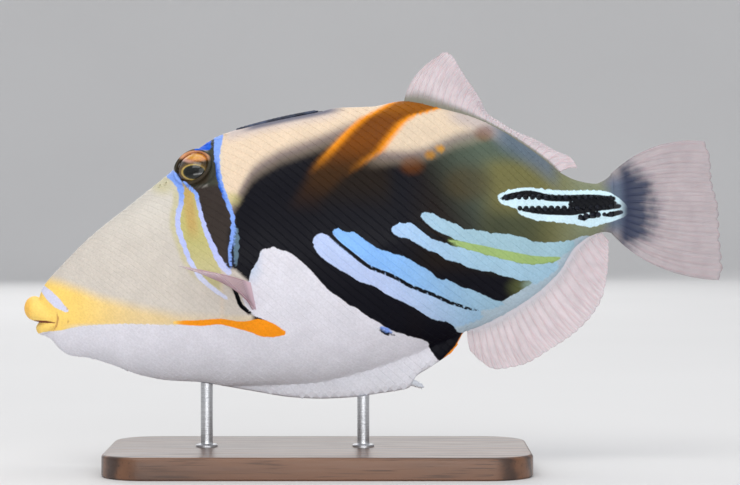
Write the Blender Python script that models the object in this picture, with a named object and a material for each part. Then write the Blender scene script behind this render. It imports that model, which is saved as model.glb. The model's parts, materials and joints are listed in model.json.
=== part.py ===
"""Life-size display model of a picasso triggerfish, held on a flat base by two short rods.

Lengths in the constants are millimetres. The fish is described in its own upright frame: `along` runs from
the tip of the snout (0) towards the tail, `up` is the height above the lowest point of the belly, and `side`
is positive to the fish's right. The fish faces -X and its left flank faces -Y.
"""

import math

import bmesh
import bpy
import numpy as np
from mathutils import Vector

MM = 0.001
GAP = 0.3  # kept between pieces that touch

# Where the fish stands over its base.
BASE_UNDER = 92.0  # `along` of the base's centre
BELLY_CLEARANCE = 22.0  # from the floor to the lowest point of the belly

# Side outline of the flesh: (along, up).
BACK = (
    (4.6, 31.4), (5.4, 34.0), (7.2, 36.8), (11.2, 41.2), (20.6, 50.6), (33.1, 60.6), (44.1, 69.4),
    (53.4, 77.4), (61.9, 82.6), (70.6, 85.2), (80.0, 87.4), (89.4, 89.3), (98.7, 91.0), (108.1, 91.3),
    (119.0, 93.1), (130.0, 90.9), (139.4, 88.4), (147.2, 85.0), (155.0, 80.3), (162.8, 74.7),
    (167.5, 70.8), (173.1, 68.2), (178.4, 67.3), (181.4, 68.5), (184.0, 70.7),
)  # fmt: skip
BELLY = (
    (4.6, 23.4), (5.4, 21.0), (6.6, 19.6), (8.1, 18.8), (11.2, 15.4), (14.4, 13.5), (19.1, 13.0),
    (26.9, 10.8), (36.3, 7.4), (45.6, 5.7), (55.0, 5.2), (62.8, 3.9), (73.7, 2.0), (83.1, 0.5), (92.5, 0.0),
    (101.9, 0.4), (111.2, 1.7), (117.5, 2.7), (120.6, 3.6), (122.2, 6.6), (126.2, 9.4), (130.0, 11.9),
    (133.1, 14.2), (135.9, 18.1), (137.4, 20.8), (140.9, 21.9), (147.2, 24.8), (153.4, 28.2),
    (161.2, 33.6), (167.5, 40.0), (172.2, 47.3), (176.9, 50.8), (181.6, 52.2), (184.0, 51.7),
)  # fmt: skip
HALF_WIDTH = (
    (4.6, 2.6), (5.4, 3.8), (6.6, 4.6), (8.1, 5.3), (11.2, 6.5), (20.0, 9.2), (33.0, 12.0), (44.0, 13.8),
    (55.0, 15.3), (65.0, 16.4), (75.0, 17.0), (90.0, 17.0), (105.0, 16.2), (120.0, 14.4), (135.0, 11.9),
    (150.0, 8.9), (162.0, 6.7), (172.0, 4.9), (180.0, 3.9), (184.0, 3.5),
)  # fmt: skip
WIDEST_UP = (
    (4.6, 27.4), (20.0, 31.0), (45.0, 37.0), (70.0, 43.0), (100.0, 47.0), (130.0, 52.0), (184.0, 60.0),
)  # fmt: skip
# A cross-section is two half superellipses: power 2 is an ellipse, and less makes a sharper crest or keel.
CREST_POWER = (
    (4.6, 2.0), (20.0, 2.1), (52.0, 2.2), (70.0, 1.95), (110.0, 1.8), (150.0, 1.8), (184.0, 2.0),
)  # fmt: skip
KEEL_POWER = (
    (4.6, 2.0), (30.0, 1.9), (60.0, 1.8), (90.0, 1.75), (130.0, 1.65), (150.0, 1.75), (184.0, 2.0),
)  # fmt: skip
KEEL_SPACING = 1.15  # above 1, the points of a ring stand closer together under the widest line
# Lower edge of the body's own bulk, where the belly flap hangs below it, and half the flap's thickness.
CORE_BELLY = (
    (60.0, 4.0), (75.0, 4.2), (90.0, 5.0), (105.0, 8.2), (120.0, 13.2), (130.0, 17.3), (137.4, 20.4),
    (140.9, 21.6),
)  # fmt: skip
FLAP_HALF = (
    (56.0, 0.0), (63.0, 0.7), (75.0, 1.5), (105.0, 1.9), (125.0, 1.7), (137.4, 1.5), (146.0, 0.0),
)  # fmt: skip
FLAP_POWER = 14.0  # how squarely the flap's edge ends

SNOUT_START = BACK[0][0]
HEAD_END = 64.0
TRUNK_END = 148.0
TAIL_END = 184.0
RING_POINTS = 40
RING_STEP = 3.3
SNOUT_STATIONS = (SNOUT_START, 5.0, 5.6, 6.5, 8.1, 9.6, 11.2, 12.8, 14.4, 16.7)
SNOUT_END = 19.1  # from here on the stations are evenly spaced
OUTLINE_CORNERS = (120.6, 121.4, 122.2, 135.9, 136.7, 137.4, 138.4)  # stations where the belly flap ends
CORNER_CLEAR = 0.9  # an even station this close to a corner is left out
SLOPE_STEP = 0.4  # to each side of a point where the skin's slope is read
SHARP_ANGLE = 40.0  # degrees

# Eye and its socket.
EYE_ALONG = 53.2
EYE_UP = 72.5
EYE_RADIUS = 5.75
EYE_DEPTH = 4.3  # half of the eyeball's size along its line of sight
EYE_BULGE = 2.2  # how far the eyeball stands out of the skin
LID_RADIUS = 6.0
LID_THICKNESS = 0.62

# Nostrils, in front of the eye: (along, up).
NOSTRILS = ((43.0, 66.6), (44.9, 67.4))
NOSTRIL_RADIUS = 0.55
NOSTRIL_RIM = 0.28
PIT_RADIUS = 0.45
PIT_DEPTH = 0.9

# Lips: (along, up) of the roll's centre at the front, radii there, and the corner of the mouth.
UPPER_LIP = {
    "front": (3.1, 28.4),
    "radii": (3.1, 3.7),
    "corner": (9.6, 25.3),
    "half_width": 4.7,
    "end_radius": 1.3,
}
LOWER_LIP = {
    "front": (6.2, 22.1),
    "radii": (2.5, 2.3),
    "corner": (10.2, 23.7),
    "half_width": 4.5,
    "end_radius": 1.1,
}
LIP_FULLNESS = 0.6  # below 1, a lip keeps its full roll further round the snout

# Gill opening, a slit ahead of the pectoral fin's root: (along, up).
GILL_SLIT = ((65.9, 35.2), (67.3, 32.4), (68.8, 29.4), (71.0, 27.0))
GILL_SLIT_WIDTH = 0.9
GILL_SLIT_DEPTH = 1.8
GILL_SLIT_END = 0.45  # width at its two ends, against the middle
CUTTER_CLEAR = 2.0  # how far a cutter stands out of the skin

# Fins. Each ray runs from a root through a bend to a tip, read at shares of the fin's length.
MEMBRANE = 0.54  # thickness between the rays
RAY = 1.0  # thickness at a ray
EDGE = 0.4  # thickness at the free edge between rays
EDGE_RAY = 0.15  # what a ray adds to it
THIN_FROM = 0.8  # share of a ray where the fin starts to thin towards its edge
RAY_TAPER = 0.55  # how much of a ray's ridge is gone at its tip
RAY_ROWS = (0.0, 0.12, 0.3, 0.55, 0.8, 1.0)
RIDGE_SHARE = 0.22  # of the way to the next ray, where a ridge meets the membrane
DORSAL_RAYS = 24
ANAL_RAYS = 22
CAUDAL_RAYS = 14
PECTORAL_RAYS = 11
DORSAL_ROOT = (118.6, 167.2)
ANAL_ROOT = (138.6, 180.2)
FIN_ROOT_THICKNESS = 1.9
FIN_ROOT_REACH = 0.28  # share of a ray over which the fleshy root thins out

FIRST_DORSAL = (66.0, 95.5)  # the folded spines' groove
GROOVE_WIDTH = 3.0
GROOVE_DEPTH = 2.2

# Three rows of forward-hooked thorns on each side of the tail: (along, up) from first to last, and how many.
THORN_ROWS = (
    {"from": (150.0, 63.2), "bend": (167.0, 63.1), "to": (183.0, 62.9), "count": 13},
    {"from": (154.5, 59.7), "bend": (168.0, 59.3), "to": (183.0, 60.2), "count": 11},
    {"from": (173.5, 57.0), "bend": (178.0, 57.6), "to": (183.0, 57.9), "count": 4},
)
THORN_RADIUS = 0.95
THORN_HEIGHT = 1.15
THORN_ROOT = 0.8  # how deep its root sits in the flank
THORN_SIDES = 5
THORN_HOOK = 0.9  # how far its tip leans forwards, in radii
THORN_FLATNESS = 0.8  # height of its section against its length
# Rings of a thorn from its root outwards: share of its height, size and shift to the rear, both in radii.
THORN_RINGS = ((-THORN_ROOT / THORN_HEIGHT, 0.9, 0.15), (0.25, 0.75, 0.0))

PELVIC_ROOT = (121.8, 4.9)
PELVIC_TIP = (125.0, 3.6)
PELVIC_RADIUS = 1.15
PELVIC_TIP_RADIUS = 0.45
PELVIC_FLATNESS = 0.75
BARBS = ((0.35, 1), (0.35, -1), (0.7, 1), (0.7, -1))  # share of the pelvic spine, and the side each stands on
BARB_ROOT = (-0.3, 0.35, 0.0)
BARB_TIP = (0.9, 1.15, -0.3)
BARB_RADII = (0.4, 0.2)

BASE_LENGTH = 132.0
BASE_WIDTH = 66.0
BASE_HEIGHT = 7.0
BASE_CORNER = 14.0
BASE_BEVEL = 1.2
ROD_RADIUS = 1.9
ROD_ALONG = {"stand_rod_front": 57.0, "stand_rod_rear": 106.0}
ROD_SOCKET = 2.0  # how far a rod goes down into the base's hole
# Levels of the base from the floor up: height, and how far its edge stands in.
BASE_LEVELS = (
    (0.0, 0.4),
    (0.4, 0.0),
    (BASE_HEIGHT - BASE_BEVEL, 0.0),
    (BASE_HEIGHT - 0.35, 0.35),
    (BASE_HEIGHT, BASE_BEVEL),
)

FLESH = (0.80, 0.79, 0.74)
FIN = (0.74, 0.69, 0.69)
EYE = (0.22, 0.13, 0.06)
WOOD = (0.62, 0.47, 0.31)
STEEL = (0.72, 0.72, 0.74)


def smooth(points, at):
    """The height of a smooth curve through `points` at each value of `at`, with no overshoot between them."""
    xs = np.array([p[0] for p in points], float)
    ys = np.array([p[1] for p in points], float)
    step = np.diff(xs)
    slope = np.diff(ys) / step
    tangent = np.zeros(len(xs))
    tangent[0], tangent[-1] = slope[0], slope[-1]
    for i in range(1, len(xs) - 1):
        if slope[i - 1] * slope[i] > 0:
            before, after = 2 * step[i] + step[i - 1], step[i] + 2 * step[i - 1]
            tangent[i] = (before + after) / (before / slope[i - 1] + after / slope[i])
    at = np.clip(np.asarray(at, float), xs[0], xs[-1])
    i = np.clip(np.searchsorted(xs, at, side="right") - 1, 0, len(xs) - 2)
    t = (at - xs[i]) / step[i]
    rise = (ys[i + 1] - ys[i], tangent[i] * step[i], tangent[i + 1] * step[i])
    return ys[i] + rise[0] * t * t * (3 - 2 * t) + rise[1] * t * (1 - t) ** 2 - rise[2] * t * t * (1 - t)


def flank(along, up):
    """How far the skin is from the middle plane at a point of the side view, as two half superellipses.

    Under the belly a thin flap runs on below the lower half, as far as the outline.
    """
    widest, width = smooth(WIDEST_UP, along), smooth(HALF_WIDTH, along)
    top, core, edge = smooth(BACK, along), smooth(CORE_BELLY, along), smooth(BELLY, along)
    core = np.maximum(core, edge)
    above = np.clip((up - widest) / (top - widest), 0, 1)
    below = np.clip((widest - up) / (widest - core), 0, 1)
    down = np.clip((widest - up) / (widest - edge), 0, 1)
    crest, keel = smooth(CREST_POWER, along), smooth(KEEL_POWER, along)
    upper = width * (1 - above**crest) ** (1 / crest)
    lower = width * (1 - below**keel) ** (1 / keel)
    flap = smooth(FLAP_HALF, along) * (1 - down**FLAP_POWER) ** 0.5
    return np.where(up > widest, upper, (lower**3 + flap**3) ** (1 / 3))


def outward(along, up, way):
    """The direction out of the skin as (along, side, up), on the right (way 1) or the left (way -1)."""
    span = 2 * SLOPE_STEP
    ahead = (flank(along + SLOPE_STEP, up) - flank(along - SLOPE_STEP, up)) / span
    above = (flank(along, up + SLOPE_STEP) - flank(along, up - SLOPE_STEP)) / span
    return Vector((-ahead, way, -above)).normalized()


def section(along, angle):
    """(side, up) on the skin at a station, with angle 0 at the crest, a quarter turn on the right flank."""
    widest = smooth(WIDEST_UP, along)
    top, edge = smooth(BACK, along), smooth(BELLY, along)
    cosine = np.cos(angle)
    rise = (top - widest) * np.abs(cosine)
    drop = (widest - edge) * np.abs(cosine) ** KEEL_SPACING
    up = np.where(cosine > 0, widest + rise, widest - drop)
    side = flank(along, up)
    return np.where(np.abs(np.sin(angle)) < 1e-6, 0.0, side * np.sign(np.sin(angle))), up


def place(along, side, up):
    """The model's own coordinates in metres, from the fish's millimetres."""
    return Vector(((along - BASE_UNDER) * MM, side * MM, (up + BELLY_CLEARANCE) * MM))


def material(name, colour, roughness, metallic=0.0):
    made = bpy.data.materials.new(name)
    made.use_nodes = True
    shader = made.node_tree.nodes["Principled BSDF"]
    shader.inputs["Base Color"].default_value = (*colour, 1.0)
    shader.inputs["Roughness"].default_value = roughness
    shader.inputs["Metallic"].default_value = metallic
    return made


def solid(name, points, faces, finish):
    """An object from points in metres and faces, its normals facing out."""
    mesh = bpy.data.meshes.new(name)
    mesh.from_pydata([tuple(p) for p in points], [], faces)
    work = bmesh.new()
    work.from_mesh(mesh)
    bmesh.ops.recalc_face_normals(work, faces=work.faces)
    work.to_mesh(mesh)
    work.free()
    mesh.shade_smooth()
    mesh.set_sharp_from_angle(angle=math.radians(SHARP_ANGLE))
    made = bpy.data.objects.new(name, mesh)
    made.data.materials.append(finish)
    bpy.context.scene.collection.objects.link(made)
    return made


def ring_faces(rings, sides, closed=False):
    """Faces over rings of `sides` points each, with flat ends unless the last ring meets the first."""
    faces = []
    for ring in range(rings if closed else rings - 1):
        here, there = ring * sides, (ring + 1) % rings * sides
        for i in range(sides):
            after = (i + 1) % sides
            faces.append((here + i, here + after, there + after, there + i))
    if not closed:
        faces.append(tuple(range(sides - 1, -1, -1)))
        faces.append(tuple(range((rings - 1) * sides, rings * sides)))
    return faces


def boolean(target, others, operation, solver="EXACT"):
    """Joins the other objects to the target or cuts them from it, and removes them."""
    group = bpy.data.collections.new("operands")
    for other in others:
        bpy.context.scene.collection.objects.unlink(other)
        group.objects.link(other)
    modifier = target.modifiers.new(operation.lower(), "BOOLEAN")
    modifier.operation = operation
    modifier.operand_type = "COLLECTION"
    modifier.collection = group
    modifier.solver = solver
    bpy.context.view_layer.update()
    graph = bpy.context.evaluated_depsgraph_get()
    result = bpy.data.meshes.new_from_object(target.evaluated_get(graph))
    target.modifiers.clear()
    target.data = result
    for other in list(group.objects):
        bpy.data.objects.remove(other)
    bpy.data.collections.remove(group)


def keep_largest(target):
    """Drops every closed surface of a mesh but the one with the most faces."""
    work = bmesh.new()
    work.from_mesh(target.data)
    bmesh.ops.triangulate(work, faces=work.faces)
    bmesh.ops.dissolve_degenerate(work, dist=0.001 * MM, edges=work.edges)
    bmesh.ops.triangulate(work, faces=[f for f in work.faces if len(f.verts) > 3])
    islands, seen = [], set()
    for start in work.verts:
        if start in seen:
            continue
        island, queue = [], [start]
        seen.add(start)
        while queue:
            vertex = queue.pop()
            island.append(vertex)
            for edge in vertex.link_edges:
                other = edge.other_vert(vertex)
                if other not in seen:
                    seen.add(other)
                    queue.append(other)
        islands.append(island)
    islands.sort(key=len)
    bmesh.ops.delete(work, geom=[v for island in islands[:-1] for v in island], context="VERTS")
    work.to_mesh(target.data)
    work.free()


def body_length(name, start, end, finish, stations=None):
    """A length of the body between two flat ends, lofted through its cross-sections."""
    if stations is None:
        even = np.linspace(start, end, round((end - start) / RING_STEP) + 1)
        corners = [c for c in OUTLINE_CORNERS if start < c < end]
        apart = [e for e in even if all(abs(e - c) > CORNER_CLEAR for c in corners)]
        stations = sorted(apart + corners)
    angles = np.arange(RING_POINTS) * 2 * math.pi / RING_POINTS
    points = []
    for along in stations:
        side, up = section(along, angles)
        points += [place(along, s, u) for s, u in zip(side, up)]
    return solid(name, points, ring_faces(len(stations), RING_POINTS), finish)


def ball(name, along, up, way, radius, depth, sink, finish, segments=20, rings=12):
    """A ball flattened along the way out of the skin, its centre sunk under a point of the side view."""
    axis = outward(along, up, way)
    first = axis.orthogonal().normalized()
    second = axis.cross(first)
    centre = place(along, way * flank(along, up), up) - axis * sink * MM
    points, faces = [centre - axis * depth * MM], []
    for ring in range(1, rings):
        polar = math.pi * ring / rings
        for i in range(segments):
            turn = 2 * math.pi * i / segments
            out = (first * math.cos(turn) + second * math.sin(turn)) * radius * math.sin(polar)
            points.append(centre + (out - axis * depth * math.cos(polar)) * MM)
    points.append(centre + axis * depth * MM)
    for i in range(segments):
        after = (i + 1) % segments
        faces.append((0, 1 + i, 1 + after))
        for ring in range(rings - 2):
            low, high = 1 + ring * segments, 1 + (ring + 1) * segments
            faces.append((low + i, high + i, high + after, low + after))
        top = 1 + (rings - 2) * segments
        faces.append((len(points) - 1, top + after, top + i))
    return solid(name, points, faces, finish)


def rim(name, along, up, way, radius, thickness, finish, segments=24, sides=6):
    """A torus lying on the skin round a point of the side view."""
    axis = outward(along, up, way)
    first = axis.orthogonal().normalized()
    second = axis.cross(first)
    middle = place(along, way * flank(along, up), up)
    points = []
    for i in range(segments):
        turn = 2 * math.pi * i / segments
        out = first * math.cos(turn) + second * math.sin(turn)
        for j in range(sides):
            round_ = 2 * math.pi * j / sides
            reach = radius + thickness * math.cos(round_)
            points.append(middle + (out * reach + axis * thickness * math.sin(round_)) * MM)
    return solid(name, points, ring_faces(segments, sides, closed=True), finish)


def lip(name, form, finish, steps=16, sides=10):
    """A rolled lip round the front of the snout, from one corner of the mouth to the other."""
    points = []
    front, corner, end = form["front"], form["corner"], form["end_radius"]
    for i in range(steps + 1):
        turn = math.pi * (i / steps - 0.5)
        share = math.cos(turn)
        centre = (
            corner[0] - (corner[0] - front[0]) * share,
            form["half_width"] * math.sin(turn),
            corner[1] + (front[1] - corner[1]) * share,
        )
        radial, upright = (end + (radius - end) * share**LIP_FULLNESS for radius in form["radii"])
        for j in range(sides):
            round_ = 2 * math.pi * j / sides
            reach = radial * math.cos(round_)
            rise = upright * math.sin(round_)
            spot = (centre[0] - reach * math.cos(turn), centre[1] + reach * math.sin(turn), centre[2] + rise)
            points.append(place(*spot))
    return solid(name, points, ring_faces(steps + 1, sides), finish)


def make_head(finish):
    rest = np.linspace(SNOUT_END, HEAD_END - GAP / 2, round((HEAD_END - SNOUT_END) / RING_STEP) + 1)
    head = body_length("head", SNOUT_START, HEAD_END, finish, [*SNOUT_STATIONS, *rest])
    pieces = [lip("upper_lip", UPPER_LIP, finish), lip("lower_lip", LOWER_LIP, finish)]
    cutters = []
    for way in (-1, 1):
        pieces.append(rim("lid", EYE_ALONG, EYE_UP, way, LID_RADIUS, LID_THICKNESS, finish))
        cutters.append(eyeball("socket", way, GAP, finish))
        for along, up in NOSTRILS:
            pieces.append(rim("nostril", along, up, way, NOSTRIL_RADIUS, NOSTRIL_RIM, finish, 10, 5))
            cutters.append(ball("pit", along, up, way, PIT_RADIUS, PIT_DEPTH, 0.0, finish, 8, 6))
    boolean(head, pieces, "UNION", "MANIFOLD")
    boolean(head, cutters, "DIFFERENCE", "MANIFOLD")
    keep_largest(head)


def eyeball(name, way, extra, finish):
    """One eye, or its socket when it is made larger by `extra`."""
    sink = EYE_DEPTH - EYE_BULGE
    return ball(name, EYE_ALONG, EYE_UP, way, EYE_RADIUS + extra, EYE_DEPTH + extra, sink, finish)


def swept_slot(name, path, width, inner, outer, finish):
    """A cutter that follows a path drawn on one flank, from `inner` to `outer` mm beside the skin."""
    points = []
    for i, (along, up) in enumerate(path):
        before, after = path[max(i - 1, 0)], path[min(i + 1, len(path) - 1)]
        run = Vector((after[0] - before[0], after[1] - before[1])).normalized()
        taper = GILL_SLIT_END if i in (0, len(path) - 1) else 1.0
        across = Vector((-run.y, run.x)) * width / 2 * taper
        for beside, edge in ((inner, -1), (inner, 1), (outer, 1), (outer, -1)):
            points.append((along + edge * across.x, flank(along, up) + beside, up + edge * across.y))
    faces = ring_faces(len(path), 4)
    return [
        solid(name, [place(a, way * s, u) for a, s, u in points], faces, finish)
        for way in (-1, 1)
    ]


def make_trunk(finish):
    trunk = body_length("trunk", HEAD_END + GAP / 2, TRUNK_END - GAP / 2, finish)
    reach = (-GILL_SLIT_DEPTH, CUTTER_CLEAR)
    cutters = swept_slot("slit", GILL_SLIT, GILL_SLIT_WIDTH, *reach, finish)
    cutters.append(groove(finish))
    boolean(trunk, cutters, "DIFFERENCE")
    keep_largest(trunk)


def groove(finish):
    """The channel along the crest that the first dorsal fin folds into."""
    stations = np.linspace(FIRST_DORSAL[0] - 0.4, FIRST_DORSAL[1] + 0.4, 12)
    half = GROOVE_WIDTH / 2
    points = []
    for along in stations:
        top = float(smooth(BACK, along))
        points += [
            place(along, -half, top - GROOVE_DEPTH),
            place(along, half, top - GROOVE_DEPTH),
            place(along, half, top + CUTTER_CLEAR),
            place(along, -half, top + CUTTER_CLEAR),
        ]
    return solid("groove", points, ring_faces(len(stations), 4), finish)


def bent(first, middle, last, share):
    """A point of the quadratic curve from first to last, pulled towards middle."""
    weights = ((1 - share) ** 2, 2 * share * (1 - share), share**2)
    return tuple(sum(w * p for w, p in zip(weights, spot)) for spot in zip(first, middle, last))


def thorn(along, up, way, finish):
    """One forward-hooked thorn, with its root sunk in the flank."""
    root = flank(along, up)
    points = []
    for height, size, shift in THORN_RINGS:
        for i in range(THORN_SIDES):
            turn = 2 * math.pi * i / THORN_SIDES
            ahead = THORN_RADIUS * (size * math.cos(turn) + shift)
            above = THORN_RADIUS * THORN_FLATNESS * size * math.sin(turn)
            points.append(place(along + ahead, way * (root + THORN_HEIGHT * height), up + above))
    points.append(place(along - THORN_HOOK * THORN_RADIUS, way * (root + THORN_HEIGHT), up))
    faces = ring_faces(2, THORN_SIDES)[:-1]
    for i in range(THORN_SIDES):
        faces.append((THORN_SIDES + i, THORN_SIDES + (i + 1) % THORN_SIDES, 2 * THORN_SIDES))
    return solid("thorn", points, faces, finish)


def make_tail(finish):
    tail = body_length("tail", TRUNK_END + GAP / 2, TAIL_END - GAP / 2, finish)
    thorns = []
    for row in THORN_ROWS:
        for i in range(row["count"]):
            along, up = bent(row["from"], row["bend"], row["to"], i / (row["count"] - 1))
            thorns += [thorn(along, up, way, finish) for way in (-1, 1)]
    boolean(tail, thorns, "UNION", "MANIFOLD")
    keep_largest(tail)


def fin_sheet(name, middle, half_thickness, skin, finish):
    """A closed vane from a grid of points along its middle, with like triangles on both faces.

    `skin` is the way out of the body at the root, whose edge is kept level with the skin.
    """
    columns, rows, _ = middle.shape
    across, outward = np.gradient(middle, axis=0), np.gradient(middle, axis=1)
    normal = np.cross(across, outward)
    skin = np.array(skin) / np.linalg.norm(skin)
    normal[:, 0] -= (normal[:, 0] @ skin)[:, None] * skin
    normal /= np.linalg.norm(normal, axis=2, keepdims=True)
    offset = normal * half_thickness[:, :, None]
    points = [place(*p) for side in (middle + offset, middle - offset) for p in side.reshape(-1, 3)]
    other = columns * rows
    faces = []
    for i in range(columns - 1):
        for j in range(rows - 1):
            a, b = i * rows + j, (i + 1) * rows + j
            for triangle in ((a, b, b + 1), (a, b + 1, a + 1)):
                faces.append(triangle)
                faces.append(tuple(other + k for k in reversed(triangle)))
    rim = [i * rows for i in range(columns)] + [(columns - 1) * rows + j for j in range(1, rows)]
    rim += [i * rows + rows - 1 for i in range(columns - 2, -1, -1)] + list(range(rows - 2, 0, -1))
    for here, after in zip(rim, rim[1:] + rim[:1]):
        faces += [(here, other + here, other + after), (here, other + after, after)]
    return solid(name, points, faces, finish)


def ray_columns(rays):
    """Shares of the fin's length where a column of points runs, and how much of a ridge each carries."""
    places, ridges = [], []
    for i in range(rays):
        for shift, ridge in ((0.0, 1.0), (RIDGE_SHARE, 0.0), (1 - RIDGE_SHARE, 0.0)):
            if i + shift <= rays - 1:
                places.append((i + shift) / (rays - 1))
                ridges.append(ridge)
    return np.array(places), np.array(ridges)


def vane_thickness(ridges, root_thickness, root_reach, rows=RAY_ROWS):
    """Half thickness over a fin's grid: ridges that fade to the free edge, and a fleshy root."""
    shares = np.array(rows)
    ridge = MEMBRANE + (RAY - MEMBRANE) * ridges[:, None] * (1 - RAY_TAPER * shares[None, :])
    thin = np.clip((shares - THIN_FROM) / (1 - THIN_FROM), 0, 1)[None, :]
    root = np.clip(1 - shares / root_reach, 0, 1)[None, :] ** 1.5
    body = ridge * (1 - thin) + (EDGE + EDGE_RAY * ridges[:, None]) * thin
    root_thickness = np.broadcast_to(np.asarray(root_thickness, float), (len(ridges),))[:, None]
    return (body + np.maximum(root_thickness - body, 0) * root) / 2


def fin_grid(places, root, bend, tip, rows=RAY_ROWS):
    """Points along each ray: root, bend and tip are functions of the share that give (along, side, up)."""
    grid = np.zeros((len(places), len(rows), 3))
    for i, share in enumerate(places):
        grid[i] = [bent(root(share), bend(share), tip(share), row) for row in rows]
    return grid


# Second dorsal fin, read against the share of its root: (along, up) of the tips as they show from the left,
# and how far each tip is laid over to the fish's right.
DORSAL_TIP_ALONG = (
    (0, 128.0), (0.1, 131.6), (0.17, 134.0), (0.24, 136.0), (0.3, 138.2), (0.37, 140.8), (0.43, 142.9),
    (0.5, 144.8), (0.56, 147.4), (0.63, 151.0), (0.75, 158.2), (0.88, 166.6), (0.95, 171.4), (1, 173.2),
)  # fmt: skip
DORSAL_TIP_UP = (
    (0, 106.2), (0.1, 108.5), (0.17, 107.2), (0.24, 103.9), (0.3, 100.7), (0.37, 97.0), (0.43, 93.4),
    (0.5, 90.0), (0.56, 87.6), (0.63, 85.2), (0.75, 81.9), (0.88, 77.8), (0.95, 75.2), (1, 72.2),
)  # fmt: skip
DORSAL_LAID = ((0, 0.6), (0.15, 1.6), (0.3, 4.0), (0.42, 7.0), (0.6, 9.5), (0.8, 8.5), (1, 4.0))
DORSAL_BEND = (0.16, 0.34, 0.62)  # of a ray: shares of the way to its tip backwards, sideways and up
DORSAL_BEND_LIFT = 0.22  # how much higher it is, against how far the tip is laid over


def make_second_dorsal(finish):
    def root(share):
        along = DORSAL_ROOT[0] + (DORSAL_ROOT[1] - DORSAL_ROOT[0]) * share
        return np.array((along, 0.0, float(smooth(BACK, along)) + GAP))

    def tip(share):
        return np.array([smooth(curve, share) for curve in (DORSAL_TIP_ALONG, DORSAL_LAID, DORSAL_TIP_UP)])

    def bend(share):
        start, end = root(share), tip(share)
        return start + (end - start) * DORSAL_BEND + (0, 0, DORSAL_BEND_LIFT * end[1])

    places, ridges = ray_columns(DORSAL_RAYS)
    thickness = vane_thickness(ridges, FIN_ROOT_THICKNESS, FIN_ROOT_REACH)
    return fin_sheet("second_dorsal_fin", fin_grid(places, root, bend, tip), thickness, (0.2, 0, 1), finish)


# Anal fin, read against the share of its root: (along, up) of the tips, and how far they swing to the right.
ANAL_TIP_ALONG = (
    (0, 139.4), (0.05, 142.6), (0.12, 147.5), (0.25, 155.6), (0.4, 164.4),
    (0.55, 172.2), (0.7, 178.8), (0.8, 181.6), (0.9, 182.8), (1, 182.7),
)  # fmt: skip
ANAL_TIP_UP = (
    (0, 15.0), (0.05, 11.8), (0.12, 9.1), (0.25, 10.3), (0.4, 15.0), (0.55, 20.2), (0.7, 27.2), (0.8, 33.6),
    (0.9, 42.6), (1, 49.6),
)  # fmt: skip
ANAL_SWING = ((0, 0.5), (0.3, 2.2), (0.6, 3.4), (0.85, 2.0), (1, 0.8))
ANAL_BEND_AHEAD = (0.2, 0.44)  # share of the way backwards at the first and at the last ray
ANAL_BEND = (0.3, 0.57)  # share of the way sideways and down


def make_anal(finish):
    def root(share):
        along = ANAL_ROOT[0] + (ANAL_ROOT[1] - ANAL_ROOT[0]) * share
        slope = float(smooth(BELLY, along + 0.5)) - float(smooth(BELLY, along - 0.5))
        out = np.array((slope, 0.0, -1.0)) / math.hypot(slope, 1.0)
        return np.array((along, 0.0, float(smooth(BELLY, along)))) + out * GAP

    def tip(share):
        return np.array([smooth(curve, share) for curve in (ANAL_TIP_ALONG, ANAL_SWING, ANAL_TIP_UP)])

    def bend(share):
        start, end = root(share), tip(share)
        first, last = ANAL_BEND_AHEAD
        return start + (end - start) * (first + (last - first) * share, *ANAL_BEND)

    places, ridges = ray_columns(ANAL_RAYS)
    thickness = vane_thickness(ridges, FIN_ROOT_THICKNESS, FIN_ROOT_REACH)
    return fin_sheet("anal_fin", fin_grid(places, root, bend, tip), thickness, (0.5, 0, -1), finish)


# Caudal fin: (along, up) of the bend and the tip of the top, middle and bottom rays.
CAUDAL_BEND_ALONG = ((0, 196.2), (0.5, 200.0), (1, 196.0))
CAUDAL_BEND_UP = ((0, 82.3), (0.5, 59.8), (1, 38.2))
CAUDAL_TIP_ALONG = (
    (0, 213.0), (0.06, 214.4), (0.3, 215.6), (0.5, 217.4), (0.8, 218.2), (0.95, 218.9), (1, 217.6),
)  # fmt: skip
CAUDAL_TIP_UP = ((0, 80.6), (0.06, 77.2), (0.5, 59.4), (0.94, 40.2), (1, 37.0))
CAUDAL_SWING = 3.0
CAUDAL_INSET = 0.3  # how far the first and last rays start inside the tail's outline
CAUDAL_ROOT_THICKNESS = (1.2, 5.8)  # at the outer rays and at the middle one
CAUDAL_ROOT_REACH = 0.34


def make_caudal(finish):
    top = float(smooth(BACK, TAIL_END)) - CAUDAL_INSET
    bottom = float(smooth(BELLY, TAIL_END)) + CAUDAL_INSET

    def root(share):
        return np.array((TAIL_END + GAP / 2, 0.0, top + (bottom - top) * share))

    def bend(share):
        return np.array((smooth(CAUDAL_BEND_ALONG, share), 0.0, smooth(CAUDAL_BEND_UP, share)))

    def tip(share):
        return np.array((smooth(CAUDAL_TIP_ALONG, share), CAUDAL_SWING, smooth(CAUDAL_TIP_UP, share)))

    places, ridges = ray_columns(CAUDAL_RAYS)
    roundness = np.sqrt(np.clip(1 - (2 * places - 1) ** 2, 0, 1))
    thin, thick = CAUDAL_ROOT_THICKNESS
    thickness = vane_thickness(ridges, thin + (thick - thin) * roundness, CAUDAL_ROOT_REACH)
    return fin_sheet("caudal_fin", fin_grid(places, root, bend, tip), thickness, (1, 0, 0), finish)


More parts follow.
